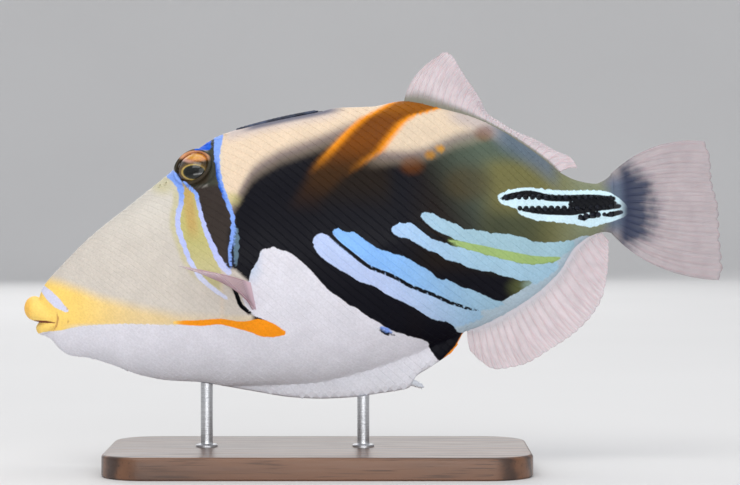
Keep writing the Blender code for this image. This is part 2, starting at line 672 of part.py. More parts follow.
# Pectoral fin, swung forward past the gill opening: (along, up) of its root and its tips from top to bottom,
# and how far the tips stand out from the root.
PECTORAL_ROOT_TOP = (71.2, 37.0)
PECTORAL_ROOT_BOTTOM = (72.7, 28.4)
PECTORAL_TIP_TOP = (49.8, 42.2)
PECTORAL_TIP_BOTTOM = (58.8, 40.4)
PECTORAL_OUT = ((0, 5.5), (0.4, 10.5), (0.75, 13.5), (1, 12.0))
PECTORAL_ROWS = (0.0, 0.14, 0.32, 0.55, 0.78, 1.0)
PECTORAL_CLEAR = 0.55  # how far the root's edge stands off the skin
PECTORAL_ROUNDING = 3.84  # how much shorter the lowest ray ends
PECTORAL_BEND = (0.3, 0.62, 0.52)  # shares of the way to the tip
PECTORAL_BEND_OUT = 1.2
PECTORAL_ROOT_THICKNESS = 1.5
PECTORAL_ROOT_REACH = 0.3


def make_pectoral(name, way, finish):
    def between(top, bottom, share):
        return np.array(top) + (np.array(bottom) - np.array(top)) * share

    def root(share):
        along, up = between(PECTORAL_ROOT_TOP, PECTORAL_ROOT_BOTTOM, share)
        return np.array((along, float(flank(along, up)) + PECTORAL_CLEAR, up))

    def tip(share):
        along, up = between(PECTORAL_TIP_TOP, PECTORAL_TIP_BOTTOM, share)
        rounding = PECTORAL_ROUNDING * share * (2 * share - 1) ** 2
        return np.array((along + rounding, root(0.5)[1] + float(smooth(PECTORAL_OUT, share)), up))

    def bend(share):
        start, end = root(share), tip(share)
        return start + (end - start) * PECTORAL_BEND + (0, PECTORAL_BEND_OUT, 0)

    places, ridges = ray_columns(PECTORAL_RAYS)
    thickness = vane_thickness(ridges, PECTORAL_ROOT_THICKNESS, PECTORAL_ROOT_REACH, PECTORAL_ROWS)
    grid = fin_grid(places, root, bend, tip, PECTORAL_ROWS)
    grid[:, :, 1] *= way
    return fin_sheet(name, grid, thickness, (0, way, 0), finish)


def spike(start, end, radii, finish, sides=8, steps=5, flatten=1.0, bow=0.0, name="spike"):
    """A tapered spine between two (along, side, up) points, bowed upwards by `bow`."""
    start, end = Vector(start), Vector(end)
    run = (end - start).normalized()
    across = run.cross(Vector((0, 0, 1))).normalized()
    over = across.cross(run)
    points = []
    for i in range(steps + 1):
        share = i / steps
        centre = start.lerp(end, share) + over * bow * 4 * share * (1 - share)
        size = radii[0] + (radii[1] - radii[0]) * share
        for j in range(sides):
            turn = 2 * math.pi * j / sides
            out = across * flatten * math.cos(turn) + over * math.sin(turn)
            points.append(place(*(centre + out * size)))
    return solid(name, points, ring_faces(steps + 1, sides), finish)


# The first dorsal fin's three spines as they lie folded: where each starts and ends along the crest, how far
# its centre lies above the crest, its radii at the root and the tip, and its place beside the middle plane.
FOLDED_SPINES = (
    {"from": 66.4, "to": 92.0, "up": (-0.75, 0.15), "radii": (1.15, 0.5), "side": 0.0},
    {"from": 76.0, "to": 94.0, "up": (-1.0, -0.45), "radii": (0.8, 0.4), "side": 0.35},
    {"from": 86.0, "to": 95.1, "up": (-1.1, -0.75), "radii": (0.6, 0.35), "side": -0.3},
)
FOLDED_BOW = 0.0192  # how far a spine bows up, against its length
FOLDED_WEB = (66.6, 95.2)  # ends of the web under the spines
FOLDED_WEB_SECTION = ((-0.5, -1.85), (0.5, -1.85), (0.35, -0.3), (-0.35, -0.3))  # (side, up from the crest)


def make_first_dorsal(finish):
    stations = np.linspace(*FOLDED_WEB, 12)
    points = []
    for along in stations:
        crest = float(smooth(BACK, along))
        points += [place(along, side, crest + up) for side, up in FOLDED_WEB_SECTION]
    fin = solid("first_dorsal_fin", points, ring_faces(len(stations), len(FOLDED_WEB_SECTION)), finish)
    spines = []
    for form in FOLDED_SPINES:
        ends = [
            (along, form["side"], float(smooth(BACK, along)) + up)
            for along, up in zip((form["from"], form["to"]), form["up"])
        ]
        bow = FOLDED_BOW * (form["to"] - form["from"])
        spines.append(spike(*ends, form["radii"], finish, steps=8, bow=bow))
    boolean(fin, spines, "UNION")
    keep_largest(fin)


def make_pelvic(finish):
    """The blunt, thorny spine that ends the belly flap."""
    root = Vector((PELVIC_ROOT[0] + GAP, 0, PELVIC_ROOT[1]))
    tip = Vector((PELVIC_TIP[0], 0, PELVIC_TIP[1]))
    radii = (PELVIC_RADIUS, PELVIC_TIP_RADIUS)
    pelvic = spike(root, tip, radii, finish, flatten=PELVIC_FLATNESS, name="pelvic_spine")
    barbs = []
    for share, way in BARBS:
        centre = root.lerp(tip, share)
        ends = [centre + Vector((along, way * side, up)) for along, side, up in (BARB_ROOT, BARB_TIP)]
        barbs.append(spike(*ends, BARB_RADII, finish, sides=5, steps=1))
    boolean(pelvic, barbs, "UNION")
    keep_largest(pelvic)


def make_stand(wood, steel):
    """A plain bevelled base with two holes, and a rod in each that ends just under the belly."""
    outline = []
    for corner, (x, y) in enumerate(((1, 1), (-1, 1), (-1, -1), (1, -1))):
        centre = (x * (BASE_LENGTH / 2 - BASE_CORNER), y * (BASE_WIDTH / 2 - BASE_CORNER))
        for i in range(9):
            turn = math.pi / 2 * (corner + i / 8)
            round_ = (BASE_CORNER * math.cos(turn), BASE_CORNER * math.sin(turn))
            outline.append((centre[0] + round_[0], centre[1] + round_[1]))
    points = []
    for up, inset in BASE_LEVELS:
        shrink = [1 - 2 * inset / size for size in (BASE_LENGTH, BASE_WIDTH)]
        points += [Vector((x * shrink[0], y * shrink[1], up)) * MM for x, y in outline]
    base = solid("stand_base", points, ring_faces(len(BASE_LEVELS), len(outline)), wood)
    holes = []
    for name, along in ROD_ALONG.items():
        make_rod(name, along, ROD_RADIUS, BASE_HEIGHT - ROD_SOCKET + GAP, steel)
        holes.append(make_rod("hole", along, ROD_RADIUS + GAP, BASE_HEIGHT - ROD_SOCKET, steel))
    boolean(base, holes, "DIFFERENCE")


def make_rod(name, along, radius, bottom, finish, sides=20):
    """A rod from a height above the floor to the belly, its top sloped like the belly over it."""
    points = []
    for ring, size in enumerate((1.0, 1.0, 1.0, 0.5)):
        for i in range(sides):
            turn = 2 * math.pi * i / sides
            x, y = along + radius * size * math.cos(turn), radius * size * math.sin(turn)
            top = float(smooth(BELLY, x)) + BELLY_CLEARANCE - GAP
            up = (bottom, 0.5 * (bottom + top), top, top)[ring]
            points.append(Vector(((x - BASE_UNDER) * MM, y * MM, up * MM)))
    points.append(place(along, 0, float(smooth(BELLY, along)) - GAP))
    faces = ring_faces(4, sides)[:-1]
    faces += [(3 * sides + i, 3 * sides + (i + 1) % sides, 4 * sides) for i in range(sides)]
    return solid(name, points, faces, finish)


def main():
    for leftover in list(bpy.data.objects):
        bpy.data.objects.remove(leftover)
    flesh = material("flesh", FLESH, 0.42)
    fin = material("fin", FIN, 0.4)
    eye = material("eye", EYE, 0.08)
    wood = material("stand_wood", WOOD, 0.45)
    steel = material("stand_steel", STEEL, 0.28, 1.0)
    make_head(flesh)
    make_trunk(flesh)
    make_tail(flesh)
    eyeball("eye_left", -1, 0.0, eye)
    eyeball("eye_right", 1, 0.0, eye)
    make_first_dorsal(flesh)
    make_second_dorsal(fin)
    make_anal(fin)
    make_caudal(fin)
    make_pectoral("pectoral_fin_left", -1, fin)
    make_pectoral("pectoral_fin_right", 1, fin)
    make_pelvic(flesh)
    make_stand(wood, steel)


main()
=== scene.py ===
"""Looks of the life-size picasso triggerfish: one skin with its markings, scales, fins, eyes and stand.

Lengths are millimetres in the fish's own frame unless a name says otherwise: `along` runs from the tip of the
snout to the tail, `side` is positive to the fish's right, and `up` is the height above its lowest point.
"""

import json
import math

import bmesh
import bpy
import numpy as np
from bpy.props import FloatProperty, FloatVectorProperty, IntProperty, PointerProperty
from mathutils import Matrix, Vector

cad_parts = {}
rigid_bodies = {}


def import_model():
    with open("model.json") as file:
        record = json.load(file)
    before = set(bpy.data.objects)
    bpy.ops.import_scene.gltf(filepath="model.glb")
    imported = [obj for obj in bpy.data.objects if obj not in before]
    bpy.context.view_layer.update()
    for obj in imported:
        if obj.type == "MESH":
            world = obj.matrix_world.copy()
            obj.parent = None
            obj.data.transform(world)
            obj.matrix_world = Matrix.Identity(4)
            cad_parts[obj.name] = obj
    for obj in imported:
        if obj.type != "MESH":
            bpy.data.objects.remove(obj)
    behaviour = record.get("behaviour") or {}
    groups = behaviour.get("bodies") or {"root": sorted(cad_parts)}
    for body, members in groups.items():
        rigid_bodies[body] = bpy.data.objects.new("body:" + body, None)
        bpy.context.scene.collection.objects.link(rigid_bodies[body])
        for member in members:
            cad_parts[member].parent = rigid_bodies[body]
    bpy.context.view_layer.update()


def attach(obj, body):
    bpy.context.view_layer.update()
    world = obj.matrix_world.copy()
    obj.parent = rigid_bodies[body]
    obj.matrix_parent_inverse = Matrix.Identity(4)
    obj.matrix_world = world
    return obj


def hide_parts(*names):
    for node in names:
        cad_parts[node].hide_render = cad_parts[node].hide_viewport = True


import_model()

bl_info = {
    "name": "Picasso triggerfish display model",
    "version": (1, 0, 0),
    "blender": (4, 5, 0),
    "location": "View3D > Sidebar > Triggerfish",
    "description": "Gives the solids of a picasso triggerfish their skin, scales, fins, eyes and stand",
    "category": "Add Mesh",
}

MM = 0.001
BASE_UNDER = 92.0
BELLY_CLEARANCE = 22.0

# Side outline and widths of the flesh, as in the solids: (along, value).
BACK = (
    (4.6, 31.4), (5.4, 34.0), (7.2, 36.8), (11.2, 41.2), (20.6, 50.6), (33.1, 60.6), (44.1, 69.4),
    (53.4, 77.4), (61.9, 82.6), (70.6, 85.2), (80.0, 87.4), (89.4, 89.3), (98.7, 91.0), (108.1, 91.3),
    (119.0, 93.1), (130.0, 90.9), (139.4, 88.4), (147.2, 85.0), (155.0, 80.3), (162.8, 74.7), (167.5, 70.8),
    (173.1, 68.2), (178.4, 67.3), (181.4, 68.5), (184.0, 70.7),
)
BELLY = (
    (4.6, 23.4), (5.4, 21.0), (6.6, 19.6), (8.1, 18.8), (11.2, 15.4), (14.4, 13.5), (19.1, 13.0),
    (26.9, 10.8), (36.3, 7.4), (45.6, 5.7), (55.0, 5.2), (62.8, 3.9), (73.7, 2.0), (83.1, 0.5), (92.5, 0.0),
    (101.9, 0.4), (111.2, 1.7), (117.5, 2.7), (120.6, 3.6), (122.2, 6.6), (126.2, 9.4), (130.0, 11.9),
    (133.1, 14.2), (135.9, 18.1), (137.4, 20.8), (140.9, 21.9), (147.2, 24.8), (153.4, 28.2), (161.2, 33.6),
    (167.5, 40.0), (172.2, 47.3), (176.9, 50.8), (181.6, 52.2), (184.0, 51.7),
)
HALF_WIDTH = (
    (4.6, 2.6), (5.4, 3.8), (6.6, 4.6), (8.1, 5.3), (11.2, 6.5), (20.0, 9.2), (33.0, 12.0), (44.0, 13.8),
    (55.0, 15.3), (65.0, 16.4), (75.0, 17.0), (90.0, 17.0), (105.0, 16.2), (120.0, 14.4), (135.0, 11.9),
    (150.0, 8.9), (162.0, 6.7), (172.0, 4.9), (180.0, 3.9), (184.0, 3.5),
)
WIDEST_UP = (
    (4.6, 27.4), (20.0, 31.0), (45.0, 37.0), (70.0, 43.0), (100.0, 47.0), (130.0, 52.0), (184.0, 60.0),
)
CREST_POWER = ((4.6, 2.0), (20.0, 2.1), (52.0, 2.2), (70.0, 1.95), (110.0, 1.8), (150.0, 1.8), (184.0, 2.0))
KEEL_POWER = (
    (4.6, 2.0), (30.0, 1.9), (60.0, 1.8), (90.0, 1.75), (130.0, 1.65), (150.0, 1.75), (184.0, 2.0),
)
CORE_BELLY = (
    (60.0, 4.0), (75.0, 4.2), (90.0, 5.0), (105.0, 8.2), (120.0, 13.2), (130.0, 17.3), (137.4, 20.4),
    (140.9, 21.6),
)
FLAP_HALF = ((56.0, 0.0), (63.0, 0.7), (75.0, 1.5), (105.0, 1.9), (125.0, 1.7), (137.4, 1.5), (146.0, 0.0))
FLAP_POWER = 14.0
KEEL_SPACING_POWER = 1.15
SNOUT_START = 4.6
TAIL_END = 184.0

EYE_ALONG = 53.2
EYE_UP = 72.5
EYE_RADIUS = 5.75
EYE_DEPTH = 4.3
EYE_BULGE = 2.2
NOSTRILS = ((43.0, 66.6), (44.9, 67.4))
UPPER_LIP = {
    "front": (3.1, 28.4), "radii": (3.1, 3.7), "corner": (9.6, 25.3), "half_width": 4.7, "end_radius": 1.3,
}  # fmt: skip
LOWER_LIP = {
    "front": (6.2, 22.1), "radii": (2.5, 2.3), "corner": (10.2, 23.7), "half_width": 4.5, "end_radius": 1.1,
}  # fmt: skip
GILL_SLIT = ((65.9, 35.2), (67.3, 32.4), (68.8, 29.4), (71.0, 27.0))
FIRST_DORSAL = (66.0, 95.5)


def smooth(points, at):
    """The height of a smooth curve through `points` at each value of `at`, with no overshoot between them."""
    xs = np.array([p[0] for p in points], float)
    ys = np.array([p[1] for p in points], float)
    step = np.diff(xs)
    slope = np.diff(ys) / step
    tangent = np.zeros(len(xs))
    tangent[0], tangent[-1] = slope[0], slope[-1]
    for i in range(1, len(xs) - 1):
        if slope[i - 1] * slope[i] > 0:
            before, after = 2 * step[i] + step[i - 1], step[i] + 2 * step[i - 1]
            tangent[i] = (before + after) / (before / slope[i - 1] + after / slope[i])
    at = np.clip(np.asarray(at, float), xs[0], xs[-1])
    i = np.clip(np.searchsorted(xs, at, side="right") - 1, 0, len(xs) - 2)
    t = (at - xs[i]) / step[i]
    rise = (ys[i + 1] - ys[i], tangent[i] * step[i], tangent[i + 1] * step[i])
    return ys[i] + rise[0] * t * t * (3 - 2 * t) + rise[1] * t * (1 - t) ** 2 - rise[2] * t * t * (1 - t)


def ease(low, high, value):
    """0 below `low`, 1 above `high`, and a smooth rise between them."""
    t = np.clip((np.asarray(value, float) - low) / (high - low), 0, 1)
    return t * t * (3 - 2 * t)


def flank(along, up):
    """How far the skin is from the middle plane at a point of the side view."""
    widest, width = smooth(WIDEST_UP, along), smooth(HALF_WIDTH, along)
    top, core, edge = smooth(BACK, along), smooth(CORE_BELLY, along), smooth(BELLY, along)
    core = np.maximum(core, edge)
    above = np.clip((up - widest) / (top - widest), 0, 1)
    below = np.clip((widest - up) / (widest - core), 0, 1)
    down = np.clip((widest - up) / (widest - edge), 0, 1)
    crest, keel = smooth(CREST_POWER, along), smooth(KEEL_POWER, along)
    upper = width * (1 - above**crest) ** (1 / crest)
    lower = width * (1 - below**keel) ** (1 / keel)
    flap = smooth(FLAP_HALF, along) * (1 - down**FLAP_POWER) ** 0.5
    return np.where(up > widest, upper, (lower**3 + flap**3) ** (1 / 3))


def section(along, angle):
    """(side, up) on the skin at a station, with angle 0 at the crest and a half turn at the keel."""
    widest = smooth(WIDEST_UP, along)
    top, edge = smooth(BACK, along), smooth(BELLY, along)
    cosine = np.cos(angle)
    lower = (widest - edge) * np.abs(cosine) ** KEEL_SPACING_POWER
    up = np.where(cosine > 0, widest + (top - widest) * np.abs(cosine), widest - lower)
    side = np.where(np.abs(np.sin(angle)) < 1e-6, 0.0, flank(along, up))
    return side, up


def half_ring(along, count=None, fine=541):
    """Points down the right flank from crest to keel, evenly spaced over the skin, and their run from the
    crest."""
    side, up = section(along, np.linspace(0, math.pi, fine))
    run = np.concatenate(([0.0], np.cumsum(np.hypot(np.diff(side), np.diff(up)))))
    if count is None:
        return side, up, run
    at = np.linspace(0, run[-1], count)
    return np.interp(at, run, side), np.interp(at, run, up), at


def outward(along, up, way):
    """The direction out of the skin as (along, side, up), on the right flank (way 1) or the left (way -1)."""
    step = 0.4
    ahead = (flank(along + step, up) - flank(along - step, up)) / (2 * step)
    above = (flank(along, up + step) - flank(along, up - step)) / (2 * step)
    return Vector((-float(ahead), way, -float(above))).normalized()


def place(along, side, up):
    """The model's own coordinates in metres, from the fish's millimetres."""
    return Vector(((along - BASE_UNDER) * MM, side * MM, (up + BELLY_CLEARANCE) * MM))


def places(points):
    """The same for an array of (along, side, up) rows."""
    return (np.asarray(points, float) - (BASE_UNDER, 0, -BELLY_CLEARANCE)) * MM


def fish_points(mesh):
    """A mesh's vertices as (along, side, up) rows in millimetres."""
    found = np.empty(len(mesh.vertices) * 3)
    mesh.vertices.foreach_get("co", found)
    return found.reshape(-1, 3) / MM + (BASE_UNDER, 0, -BELLY_CLEARANCE)


def bent(first, middle, last, share):
    """A point of the quadratic curve from first to last, pulled towards middle."""
    first, middle, last = (np.asarray(p, float) for p in (first, middle, last))
    return (1 - share) ** 2 * first + 2 * share * (1 - share) * middle + share**2 * last


def placed(name, data):
    """An object for a mesh, light or camera, linked to the scene."""
    made = bpy.data.objects.new(name, data)
    bpy.context.scene.collection.objects.link(made)
    return made


def solid(name, points, faces, finish=None, metres=False):
    """An object from points and faces, smooth, with its normals facing out."""
    mesh = bpy.data.meshes.new(name)
    spots = points if metres else places(points)
    mesh.from_pydata([tuple(p) for p in spots], [], faces)
    work = bmesh.new()
    work.from_mesh(mesh)
    bmesh.ops.recalc_face_normals(work, faces=work.faces)
    work.to_mesh(mesh)
    work.free()
    mesh.shade_smooth()
    if finish is not None:
        mesh.materials.append(finish)
    return placed(name, mesh)


def turns_of(count):
    """Even angles round a full turn."""
    return np.arange(count) * 2 * math.pi / count


def height(curve, at):
    """The height of a smooth curve at one place."""
    return float(smooth(curve, at))


def boolean(target, others, operation, solver="MANIFOLD"):
    """Joins the other objects to the target or cuts them from it, and removes them."""
    group = bpy.data.collections.new("operands")
    for other in others:
        bpy.context.scene.collection.objects.unlink(other)
        group.objects.link(other)
    modifier = target.modifiers.new(operation.lower(), "BOOLEAN")
    modifier.operation = operation
    modifier.operand_type = "COLLECTION"
    modifier.collection = group
    modifier.solver = solver
    made_plain(target)
    for other in list(group.objects):
        bpy.data.objects.remove(other)
    bpy.data.collections.remove(group)
    if len(target.data.vertices) == 0:
        raise RuntimeError(f"{operation} left nothing of {target.name}")


def made_plain(target):
    """Applies the object's modifiers, so that what is left is a plain mesh."""
    bpy.context.view_layer.update()
    graph = bpy.context.evaluated_depsgraph_get()
    result = bpy.data.meshes.new_from_object(target.evaluated_get(graph))
    target.modifiers.clear()
    target.data = result


def tube(points, radii, sides, flatten=1.0):
    """Points and faces of a closed tube along a path of (along, side, up), its ends rounded off by their
    radii."""
    points = np.asarray(points, float)
    run = np.gradient(points, axis=0)
    run /= np.linalg.norm(run, axis=1, keepdims=True)
    reference = np.array((0.0, 0.0, 1.0)) if abs(run[0][2]) < 0.9 else np.array((1.0, 0.0, 0.0))
    across = np.cross(run, reference)
    across /= np.linalg.norm(across, axis=1, keepdims=True)
    over = np.cross(across, run)
    turns = turns_of(sides)
    rings = [
        p + r * (flatten * np.cos(turns)[:, None] * a + np.sin(turns)[:, None] * o)
        for p, r, a, o in zip(points, radii, across, over)
    ]
    return ring_mesh(rings)


def ring_mesh(rings):
    """Points and faces of a closed skin over rings of like count."""
    sides = len(rings[0])
    faces = []
    for i in range(len(rings) - 1):
        for j in range(sides):
            after = (j + 1) % sides
            here, there = i * sides, (i + 1) * sides
            faces.append((here + j, here + after, there + after, there + j))
    faces.append(tuple(range(sides - 1, -1, -1)))
    faces.append(tuple((len(rings) - 1) * sides + j for j in range(sides)))
    return np.concatenate(rings), faces


def joined(parts):
    """One list of points and faces from several."""
    points, faces, start = [], [], 0
    for spots, polygons in parts:
        points.append(np.asarray(spots, float))
        faces += [tuple(start + k for k in polygon) for polygon in polygons]
        start += len(spots)
    return np.concatenate(points), faces


# Markings of the left flank as they show in the side view, in its pixels; the right flank has the same.
PIXEL = 0.3125  # millimetres in the middle plane
SNOUT_PIXEL = 24.0
KEEL_PIXEL = 399.0
VIEW_DISTANCE = 800.0  # millimetres from the camera to the middle plane
VIEW_CENTRE = (108.1, 48.9)  # (along, up) that the camera looks at

STRIPES = (
    (
        (313, 243), (315, 235), (322, 232), (330, 235), (350, 252), (370, 267), (390, 275), (410, 286),
        (440, 299), (470, 310), (500, 309), (530, 297), (558, 280), (545, 296), (500, 319), (463, 331),
        (450, 323), (435, 319), (420, 311), (406, 303), (389, 294), (375, 286), (360, 280), (345, 272),
        (330, 262), (318, 252),
    ),
    (
        (332, 230), (337, 227), (345, 230), (356, 232), (368, 240), (378, 247), (389, 251), (400, 254),
        (410, 259), (420, 264), (430, 270), (439, 278), (451, 280), (463, 287), (475, 290), (487, 296),
        (500, 301), (530, 295), (500, 310), (472, 308), (440, 296), (410, 283), (390, 272), (370, 264),
        (350, 249), (338, 239),
    ),
    (
        (391, 229), (394, 224), (400, 222), (410, 222), (418, 227), (430, 236), (450, 244), (470, 249),
        (490, 255), (510, 260), (530, 264), (558, 261), (574, 254), (560, 275), (538, 288), (530, 281),
        (521, 280), (506, 276), (490, 271), (480, 270), (468, 266), (458, 262), (446, 258), (438, 253),
        (428, 249), (420, 244), (410, 238), (400, 236),
    ),
    (
        (420, 214), (425, 211), (433, 213), (440, 216), (450, 221), (457, 224), (465, 228), (478, 229),
        (490, 232), (505, 233), (520, 236), (535, 241), (550, 242), (572, 240), (582, 240), (574, 254),
        (557, 257), (530, 256), (510, 253), (490, 248), (470, 243), (450, 236), (436, 229), (427, 222),
    ),
)
SHEATH = (
    (463, 333), (455, 327), (470, 316), (500, 302), (530, 284), (556, 262), (573, 240), (590, 236),
    (586, 250), (570, 272), (545, 295), (515, 315), (485, 328),
)
WHITE_BELLY = (
    (251, 271), (254, 264), (258, 258), (261, 250), (267, 247), (275, 246), (280, 248), (290, 252),
    (300, 260), (310, 269), (320, 280), (330, 290), (340, 297), (350, 305), (356, 307), (363, 313),
    (377, 320), (385, 326), (397, 332), (415, 337), (428, 343), (430, 350), (436, 358), (441, 366),
    (430, 392), (360, 412), (250, 412), (120, 400), (60, 372), (40, 350), (38, 334), (60, 330), (80, 326),
    (120, 323), (175, 324), (215, 321), (235, 325), (246, 328), (256, 332), (270, 334), (281, 333),
    (281, 330), (272, 324), (262, 318), (252, 313), (244, 302), (243, 290), (248, 280),
)
VENT_RIM = (((463, 333), (460.5, 340), (456, 348), (449, 355), (442, 361)), (0.8, 1.8, 2.0, 1.8, 0.8))
ORANGE_STREAK = (
    (174, 321.5), (200, 322), (220, 320.5), (235, 323.5), (246, 325), (256, 325.5), (264, 327.5),
    (274, 330), (283, 332),
)
ORANGE_HALF = (1.6, 3.0, 2.9, 3.4, 4.8, 7.8, 8.6, 6.6, 2.6)
FACE_STRIPES = (
    (
        (
            (166, 166), (169, 172), (176, 179), (181, 190), (181, 202), (178, 214), (178, 226), (181, 236),
            (185, 247), (189, 258), (194, 267), (200, 276), (207, 283), (216, 290), (228, 298),
        ),
        (5.0, 5.0, 4.2, 2.8, 2.4, 2.6, 2.6, 2.6, 2.4, 2.3, 2.2, 2.2, 2.2, 2.2, 1.0),
    ),
    (
        (
            (184, 181), (190, 187), (196, 193), (198, 201), (200, 210), (203, 221), (207, 233), (212, 244),
            (217, 255), (222, 264), (229, 271),
        ),
        (1.0, 1.9, 1.9, 1.9, 2.0, 2.1, 2.4, 2.8, 3.2, 3.4, 3.0),
    ),
    (
        (
            (219, 133), (218, 142), (217, 152), (217.5, 163), (219, 175), (221, 184), (225, 195),
            (229.5, 206), (232.5, 216), (233, 226), (231.5, 237), (230, 248), (230, 258), (230.5, 266),
        ),
        (4.6, 4.0, 3.0, 2.4, 2.4, 2.5, 2.3, 2.2, 2.1, 2.0, 1.9, 1.8, 1.8, 1.4),
    ),
    (((237, 227), (237, 238), (236, 250), (235.5, 264)), (0.8, 2.2, 2.6, 1.4)),
)
NAPE_TRIANGLE = ((194, 149.5), (200, 145), (206, 141), (211, 137), (210.5, 144), (210, 149.5), (202, 149.5))
SPINE_FIELD = (
    (497, 197), (500, 193), (510, 189), (525, 187), (540, 188), (560, 190), (590, 190), (605, 191),
    (616, 196), (626, 205), (628, 214), (616, 220), (605, 223), (590, 227), (575, 224), (550, 221),
    (533, 219), (520, 213), (515, 207), (503, 204),
)
BLACK_ROWS = (
    (
        (
            (501, 198), (507, 197), (513, 195), (530, 193), (545, 196.5), (560, 198), (590, 197.5),
            (613, 198.5),
        ),
        (1.2, 3.0, 3.0, 3.2, 3.3, 3.2, 3.4, 2.4),
    ),
    (
        ((520, 209), (535, 210), (550, 211), (565, 211.5), (575, 211), (595, 208), (619, 206)),
        (1.2, 3.0, 3.4, 3.4, 3.6, 3.2, 2.2),
    ),
    (((570, 204), (585, 203.5), (600, 203), (614, 203)), (2.0, 6.2, 6.4, 2.5)),
    (((579, 218), (584, 217.5), (588, 217)), (1.4, 3.2, 1.4)),
    (((590, 216), (594, 214.5), (598, 214)), (2.2, 3.8, 2.2)),
    (((606, 215), (612, 214), (621, 212)), (1.4, 2.8, 2.2)),
)
BLACK_LINES = (
    (
        (
            (331, 235), (340, 243), (350, 251), (360, 259), (370, 266), (380, 270), (390, 274), (400, 279),
            (410, 285), (430, 292.5), (440, 297), (450, 302), (460, 305), (474, 309.5),
        ),
        (1.9, 1.9, 1.9, 1.9, 1.9, 1.9, 1.9, 1.9, 1.9, 1.8, 1.8, 1.7, 1.5, 0.4),
    ),
    (((415, 222), (420, 225), (427, 231), (437, 236), (448, 240)), (1.6, 1.9, 1.8, 1.6, 0.4)),
    (((232, 285), (236, 292), (240, 303), (246, 309), (254, 314)), (0.8, 2.0, 2.2, 2.0, 0.8)),
    (((341, 310), (346, 314), (352, 318.5)), (0.2, 0.8, 0.3)),
    (((376, 328), (384, 332), (390, 334), (395, 335)), (0.4, 1.6, 1.4, 0.3)),
)
YELLOW_LINE = (
    (
        (448, 239), (456, 241.5), (466, 244.5), (480, 248), (496, 252), (511, 255.5), (526, 258.5),
        (540, 259.5), (559, 258),
    ),
    (0.6, 1.9, 3.0, 3.8, 4.2, 4.6, 4.4, 3.6, 1.6),
)
BLUE_DASH = (((381, 326), (388, 329.5), (394, 332.5)), (0.8, 2.0, 0.6))
LIP_PATCH = (((41, 287), (49, 295), (57, 303), (66, 310)), (3.0, 4.6, 4.8, 2.0))
MOUTH_LINE = (((22, 321.5), (30, 321.5), (45, 321.5), (54, 322.5)), (1.2, 1.4, 1.2, 0.4))
MOUTH_FOLDS = (
    (((56, 311), (57.5, 318), (56, 325), (53, 331)), (0.3, 0.9, 0.9, 0.3)),
    (((66, 305), (68.5, 313), (68, 320), (66, 325)), (0.2, 0.7, 0.7, 0.2)),
)
BAR_FRONT = (
    (101, 392), (106, 383), (118, 360), (128, 348), (136, 340), (146, 331), (158, 321), (180, 306),
    (205, 290),
)
BAR_REAR = (
    (101, 452), (107, 446), (115, 416), (122, 405), (133, 396), (150, 383), (163, 362), (175, 345),
    (200, 320),
)
SADDLE_EDGE = (
    (223, 222), (238, 200), (245, 187), (252, 176), (262, 168), (280, 158), (300, 151), (320, 144),
    (340, 136), (360, 128),
)
PATCH_EDGE = (
    (372, 160), (392, 157), (410, 157), (425, 154), (440, 148), (455, 141), (475, 136), (492, 130),
    (510, 126),
)
YELLOW_TOP = ((24, 268), (45, 279), (60, 283), (80, 290), (100, 298), (140, 308), (178, 316), (230, 318))


def side_view(points):
    """Where points of the fish show in the side view, in its pixels, with the right flank mirrored on to the
    left."""
    nearer = VIEW_DISTANCE / (VIEW_DISTANCE - np.abs(points[:, 1]))
    along = VIEW_CENTRE[0] + (points[:, 0] - VIEW_CENTRE[0]) * nearer
    up = VIEW_CENTRE[1] + (points[:, 2] - VIEW_CENTRE[1]) * nearer
    return np.column_stack((SNOUT_PIXEL + along / PIXEL, KEEL_PIXEL - up / PIXEL))


def rounded(points, closed=False, steps=4):
    """A smooth run of points through the given ones."""
    points = np.asarray(points, float)
    if closed:
        ring = np.concatenate((points[-1:], points, points[:2]))
    else:
        ring = np.concatenate((2 * points[:1] - points[1:2], points, 2 * points[-1:] - points[-2:-1]))
    found = []
    for a, b, c, d in zip(ring, ring[1:], ring[2:], ring[3:]):
        for t in np.arange(steps) / steps:
            bend = (2 * a - 5 * b + 4 * c - d) * t * t + (3 * b - a - 3 * c + d) * t**3
            found.append(0.5 * (2 * b + (c - a) * t + bend))
    if not closed:
        found.append(points[-1])
    return np.array(found)


def near_run(at, path, closed=False):
    """The distance of each point to a path, and how far along it, counted in its points."""
    nearest, share = np.full(len(at), 1e9), np.zeros(len(at))
    last = np.roll(path, -1, axis=0) if closed else path[1:]
    for i, (a, b) in enumerate(zip(path, last)):
        run = b - a
        t = np.clip(((at - a) @ run) / max(run @ run, 1e-9), 0, 1)
        gap = np.hypot(at[:, 0] - a[0] - t * run[0], at[:, 1] - a[1] - t * run[1])
        closer = gap < nearest
        nearest[closer] = gap[closer]
        share[closer] = (i + t)[closer]
    return nearest, share


def inside_area(at, outline):
    """Pixels to the edge of a closed area, positive inside it."""
    path = rounded(outline, closed=True)
    nearest, _ = near_run(at, path, closed=True)
    within = np.zeros(len(at), bool)
    for a, b in zip(path, np.roll(path, -1, axis=0)):
        crosses = (a[1] > at[:, 1]) != (b[1] > at[:, 1])
        reach = a[0] + (at[:, 1] - a[1]) * (b[0] - a[0]) / ((b[1] - a[1]) or 1e-9)
        within ^= crosses & (at[:, 0] < reach)
    return np.where(within, nearest, -nearest)


def inside_band(at, points, halves, steps=4):
    """Pixels to the edge of a band of changing width, positive inside it."""
    nearest, share = near_run(at, rounded(points, steps=steps))
    return np.interp(share, np.arange(len(halves)) * steps, halves) - nearest


def across(path, v):
    """Where a mark that runs down the face stands at each height."""
    return np.interp(v, [p[1] for p in path], [p[0] for p in path])


